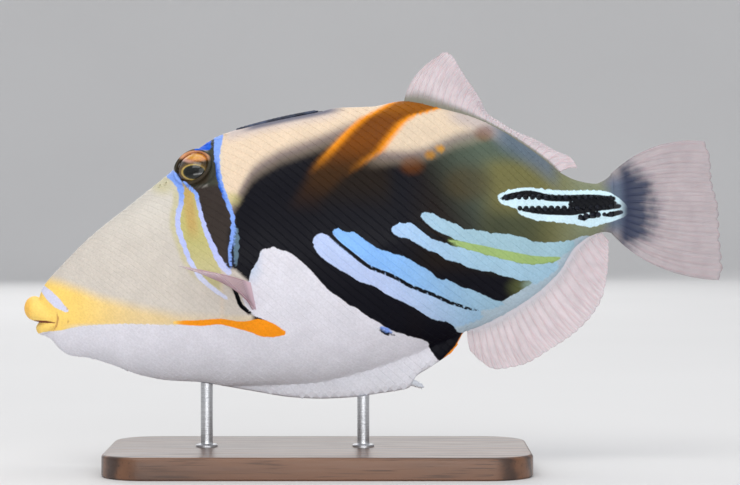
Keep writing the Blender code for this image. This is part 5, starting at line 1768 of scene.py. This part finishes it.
LIT_SPOT = (0.016, 0.0, 0.07)
LIGHTS = {  # where each stands, what it is turned to, its size, its power and its tint, in metres and watts
    "key_light": ((-0.25, -0.75, 1.15), LIT_SPOT, (0.9, 0.7), 6.2, (1.0, 0.985, 0.96)),
    "front_fill": ((0.55, -1.3, 0.5), LIT_SPOT, (1.0, 0.9), 3.9, (0.95, 0.97, 1.0)),
    "top_light": ((0.1, 0.25, 1.3), LIT_SPOT, (1.2, 1.0), 5.2),
    "low_fill": ((0.0, -1.2, 0.12), (0.016, 0.0, 0.03), (1.2, 0.2), 3.7),
    "rear_fill": ((-0.2, 1.2, 0.6), LIT_SPOT, (1.2, 0.9), 4.2),
}
WORLD_TINT = (0.93, 0.95, 1.0)
WORLD_STRENGTH = 0.55


def area_light(name, spot, target, size, power, tint=(1, 1, 1)):
    """A rectangular soft light turned to a target, in metres and watts."""
    data = bpy.data.lights.new(name, "AREA")
    data.shape = "RECTANGLE"
    data.size, data.size_y = size
    data.energy = power
    data.color = tint
    made = placed(name, data)
    made.location = spot
    made.rotation_euler = (Vector(target) - Vector(spot)).to_track_quat("-Z", "Y").to_euler()


# Settings.
def colour_setting(name, description, default):
    return FloatVectorProperty(
        name=name, description=description, default=tuple(float(c) for c in default), size=3, subtype="COLOR",
        min=0, max=1
    )


class FishSkinSettings(bpy.types.PropertyGroup):
    ring_spacing: FloatProperty(
        name="Ring spacing", description="Millimetres between the skin's rings", default=0.72, min=0.5,
        max=4.0
    )
    ring_points: IntProperty(
        name="Ring points", description="Points round each ring of the skin", default=296, min=40, max=400
    )
    scale_pitch: FloatProperty(
        name="Scale length", description="Length in millimetres of a scale at mid body", default=2.9, min=1.5,
        max=6.0
    )
    scale_aspect: FloatProperty(
        name="Scale height", description="Height of a scale against its length", default=1.0, min=0.6, max=1.6
    )
    scale_thickness: FloatProperty(
        name="Scale thickness", description="Thickness of a scale against its length", default=0.048,
        min=0.02, max=0.2
    )
    scale_roundness: FloatProperty(
        name="Scale outline", description="0 for round scales, 1 for diamonds", default=0.8, min=0, max=1
    )


class FishFinSettings(bpy.types.PropertyGroup):
    dorsal_rays: IntProperty(
        name="Dorsal rays", description="Rays of the second dorsal fin", default=26, min=12, max=30
    )
    anal_rays: IntProperty(name="Anal rays", description="Rays of the anal fin", default=24, min=12, max=30)
    caudal_rays: IntProperty(
        name="Caudal rays", description="Rays of the tail fin", default=14, min=8, max=20
    )
    pectoral_rays: IntProperty(
        name="Pectoral rays", description="Rays of each pectoral fin", default=14, min=8, max=18
    )
    web: colour_setting("Web", "Colour of the skin between the rays", tone(226, 212, 216))
    ray: colour_setting("Ray", "Colour of the rays", tone(200, 178, 184))
    edge: colour_setting("Edge", "Colour at the free edge", tone(224, 212, 216))


class FishStandSettings(bpy.types.PropertyGroup):
    dark_wood: colour_setting("Dark grain", "Colour of the wood's dark grain", tone(58, 36, 24))
    light_wood: colour_setting("Light grain", "Colour of the wood's light grain", tone(112, 74, 48))


class FishStageSettings(bpy.types.PropertyGroup):
    floor: colour_setting("Floor", "Colour of the studio floor", (0.72, 0.715, 0.71))
    lens: FloatProperty(
        name="Lens", description="Focal length of the camera", default=124.5, min=20, max=300, unit="CAMERA"
    )
    elevation: FloatProperty(
        name="Elevation", description="How far the camera looks down", default=math.radians(1.5),
        subtype="ANGLE"
    )


# Operators.
class TRIGGERFISH_OT_materials(bpy.types.Operator):
    """Make the shader groups and materials that the pieces share"""

    bl_idname = "triggerfish.materials"
    bl_label = "Make materials"

    def execute(self, context):
        scene = context.scene
        fins, stand = scene.fish_fins, scene.fish_stand
        relief, markings = relief_group(), markings_group()
        skin_material("fish_skin", relief, markings, 0.44, 2400.0)
        skin_material("fish_scales", relief, markings, 0.42, 3000.0)
        tints = [np.array(tint) for tint in (fins.web, fins.ray, fins.edge)]
        fin_material("dorsal_skin", relief, tints, DORSAL_ROOT_GREY, 0.56)
        fin_material("anal_skin", relief, tints, ANAL_ROOT_GREY, 0.6)
        tail_tints = [TAIL_SHADE * tint for tint in tints]
        fin_material("caudal_skin", relief, tail_tints, TAIL_BLUE, 0.72, TAIL_PATCH, markings)
        fin_material("pectoral_skin", relief, (PECTORAL_WEB, PECTORAL_RAY, tints[2]), PECTORAL_PINK, 0.42)
        eye_material()
        for name, (tint, high_tint, roughness) in HORN.items():
            spine_material(name, relief, tint, high_tint, roughness)
        wood_material(tuple(stand.dark_wood), tuple(stand.light_wood))
        steel_material()
        return {"FINISHED"}


def finish_named(name):
    found = bpy.data.materials.get(name)
    if found is None:
        raise RuntimeError(f"make the materials first: there is no {name}")
    return found


class TRIGGERFISH_OT_skin(bpy.types.Operator):
    """Make the one skin of head, trunk and tail, with lips, lids and markings"""

    bl_idname = "triggerfish.skin"
    bl_label = "Make skin"

    def execute(self, context):
        skin = make_skin(context.scene.fish_skin, finish_named("fish_skin"))
        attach(skin, "root")
        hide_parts("head", "trunk", "tail")
        return {"FINISHED"}


class TRIGGERFISH_OT_scales(bpy.types.Operator):
    """Set the scales of both flanks over the skin"""

    bl_idname = "triggerfish.scales"
    bl_label = "Make scales"

    def execute(self, context):
        settings = context.scene.fish_skin
        tree = instancing_tree("set_scales", scale_shape, (
            ("Radius", "NodeSocketFloat", 0.5), ("Top Radius", "NodeSocketFloat", 0.4),
            ("Thickness", "NodeSocketFloat", 0.07), ("Aspect", "NodeSocketFloat", 1.0),
            ("Diamond", "NodeSocketFloat", 0.8),
        ))  # fmt: skip
        sizes = {
            "Radius": 0.515, "Top Radius": 0.44, "Thickness": settings.scale_thickness,
            "Aspect": settings.scale_aspect, "Diamond": settings.scale_roundness,
        }  # fmt: skip
        for name, way in (("scales_left", -1), ("scales_right", 1)):
            points, outs, ahead, pitch = scale_lattice(settings, way)
            sunk = points - outs * (pitch * settings.scale_thickness * 0.4)[:, None]
            scales = instanced(name, sunk, outs, ahead, pitch * MM, tree, sizes, finish_named("fish_scales"))
            add_markings(scales, root_rows(scales.data))
            bake_map(scales)
            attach(scales, "root")
        return {"FINISHED"}


class TRIGGERFISH_OT_eyes(bpy.types.Operator):
    """Make both eyes"""

    bl_idname = "triggerfish.eyes"
    bl_label = "Make eyes"

    def execute(self, context):
        for side, way in (("left", -1), ("right", 1)):
            eye = make_eye(f"eyeball_{side}", way, finish_named("eyeball"))
            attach(eye, "root")
            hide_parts(f"eye_{side}")
        return {"FINISHED"}


class TRIGGERFISH_OT_fins(bpy.types.Operator):
    """Make the rayed fins"""

    bl_idname = "triggerfish.fins"
    bl_label = "Make fins"

    def execute(self, context):
        fins = context.scene.fish_fins
        for node_name, kind, rays, way, finish in (
            ("second_dorsal_fin", "second_dorsal_fin", fins.dorsal_rays, 1, "dorsal_skin"),
            ("anal_fin", "anal_fin", fins.anal_rays, 1, "anal_skin"),
            ("caudal_fin", "caudal_fin", fins.caudal_rays, 1, "caudal_skin"),
            ("pectoral_fin_left", "pectoral_fin", fins.pectoral_rays, -1, "pectoral_skin"),
            ("pectoral_fin_right", "pectoral_fin", fins.pectoral_rays, 1, "pectoral_skin"),
        ):
            fin = make_fin(f"{node_name}_rays", kind, rays, way, finish_named(finish))
            if kind == "caudal_fin":
                add_markings(fin)
            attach(fin, "root")
            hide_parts(node_name)
        return {"FINISHED"}


class TRIGGERFISH_OT_spines(bpy.types.Operator):
    """Make the folded first dorsal fin, the pelvic spine and the tail's rows of thorns"""

    bl_idname = "triggerfish.spines"
    bl_label = "Make spines"

    def execute(self, context):
        for node_name, make, finish in (
            ("first_dorsal_fin", make_first_dorsal, "dorsal_spine_skin"),
            ("pelvic_spine", make_pelvic, "pelvic_spine_skin"),
        ):
            piece = make(finish_named(finish))
            piece.name = f"{node_name}_folded" if "dorsal" in node_name else f"{node_name}_rough"
            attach(piece, "root")
            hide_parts(node_name)
        tree = instancing_tree("set_thorns", thorn_shape, (
            ("Radius", "NodeSocketFloat", 0.00095), ("Height", "NodeSocketFloat", 0.0013),
            ("Hook", "NodeSocketFloat", 0.0011),
        ))  # fmt: skip
        points, outs, ahead, sizes = thorn_points()
        values = {"Radius": 0.00098, "Height": 0.00135, "Hook": 0.0011}
        thorns = instanced(
            "tail_thorns", points, outs, ahead, sizes, tree, values, finish_named("thorn_horn")
        )
        thorns.data.shade_smooth()
        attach(thorns, "root")
        return {"FINISHED"}


class TRIGGERFISH_OT_stand(bpy.types.Operator):
    """Make the wooden base and its two steel rods"""

    bl_idname = "triggerfish.stand"
    bl_label = "Make stand"

    def execute(self, context):
        base = make_base(finish_named("walnut"))
        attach(base, "root")
        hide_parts("stand_base")
        for name, along in ROD_ALONG.items():
            rod = make_rod(f"{name}_steel", along, finish_named("brushed_steel"))
            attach(rod, "root")
            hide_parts(name)
        return {"FINISHED"}


class TRIGGERFISH_OT_stage(bpy.types.Operator):
    """Make the pale floor, the soft lights and the camera at the photograph's angle"""

    bl_idname = "triggerfish.stage"
    bl_label = "Make stage"

    def execute(self, context):
        scene = context.scene
        settings = scene.fish_stage
        floor = studio_sweep(floor_material(tuple(settings.floor)))
        for name, light in LIGHTS.items():
            area_light(name, *light)
        world = bpy.data.worlds.new("studio")
        world.use_nodes = True
        background = world.node_tree.nodes["Background"]
        fill(world.node_tree, background, {"Color": opaque(WORLD_TINT), "Strength": WORLD_STRENGTH})
        scene.world = world
        data = bpy.data.cameras.new("photo_camera")
        data.lens = settings.lens
        data.clip_start, data.clip_end = 0.05, 20.0
        camera = placed("photo_camera", data)
        aim = place(VIEW_CENTRE[0], 0, VIEW_CENTRE[1])
        back = VIEW_DISTANCE * MM
        lift = math.sin(settings.elevation)
        camera.location = aim + Vector((0, -math.cos(settings.elevation) * back, lift * back))
        camera.rotation_euler = (aim - camera.location).to_track_quat("-Z", "Y").to_euler()
        scene.camera = camera
        scene.view_settings.view_transform = "Standard"
        return {"FINISHED"}


class TRIGGERFISH_PT_panel(bpy.types.Panel):
    """Lists the model's pieces and their sizes and colours"""

    bl_idname = "TRIGGERFISH_PT_panel"
    bl_label = "Triggerfish"
    bl_space_type = "VIEW_3D"
    bl_region_type = "UI"
    bl_category = "Triggerfish"

    def draw(self, context):
        layout = self.layout
        for group, operators in PANEL_ROWS:
            box = layout.box()
            settings = getattr(context.scene, group, None)
            if settings is not None:
                for title in settings.__annotations__:
                    box.prop(settings, title)
            for operator in operators:
                box.operator(operator.bl_idname)


PANEL_ROWS = (
    ("fish_materials", (TRIGGERFISH_OT_materials,)),
    ("fish_skin", (TRIGGERFISH_OT_skin, TRIGGERFISH_OT_scales, TRIGGERFISH_OT_eyes, TRIGGERFISH_OT_spines)),
    ("fish_fins", (TRIGGERFISH_OT_fins,)),
    ("fish_stand", (TRIGGERFISH_OT_stand,)),
    ("fish_stage", (TRIGGERFISH_OT_stage,)),
)
SETTINGS = {
    "fish_skin": FishSkinSettings,
    "fish_fins": FishFinSettings,
    "fish_stand": FishStandSettings,
    "fish_stage": FishStageSettings,
}
CLASSES = (*SETTINGS.values(), *(operator for _, row in PANEL_ROWS for operator in row), TRIGGERFISH_PT_panel)


def register():
    for kind in CLASSES:
        bpy.utils.register_class(kind)
    for name, kind in SETTINGS.items():
        setattr(bpy.types.Scene, name, PointerProperty(type=kind))


def unregister():
    for name in SETTINGS:
        delattr(bpy.types.Scene, name)
    for kind in reversed(CLASSES):
        bpy.utils.unregister_class(kind)


def main():
    register()
    bpy.ops.triggerfish.stage()
    bpy.ops.triggerfish.materials()
    bpy.ops.triggerfish.skin()
    bpy.ops.triggerfish.scales()
    bpy.ops.triggerfish.eyes()
    bpy.ops.triggerfish.fins()
    bpy.ops.triggerfish.spines()
    bpy.ops.triggerfish.stand()


if __name__ == "__main__":
    main()
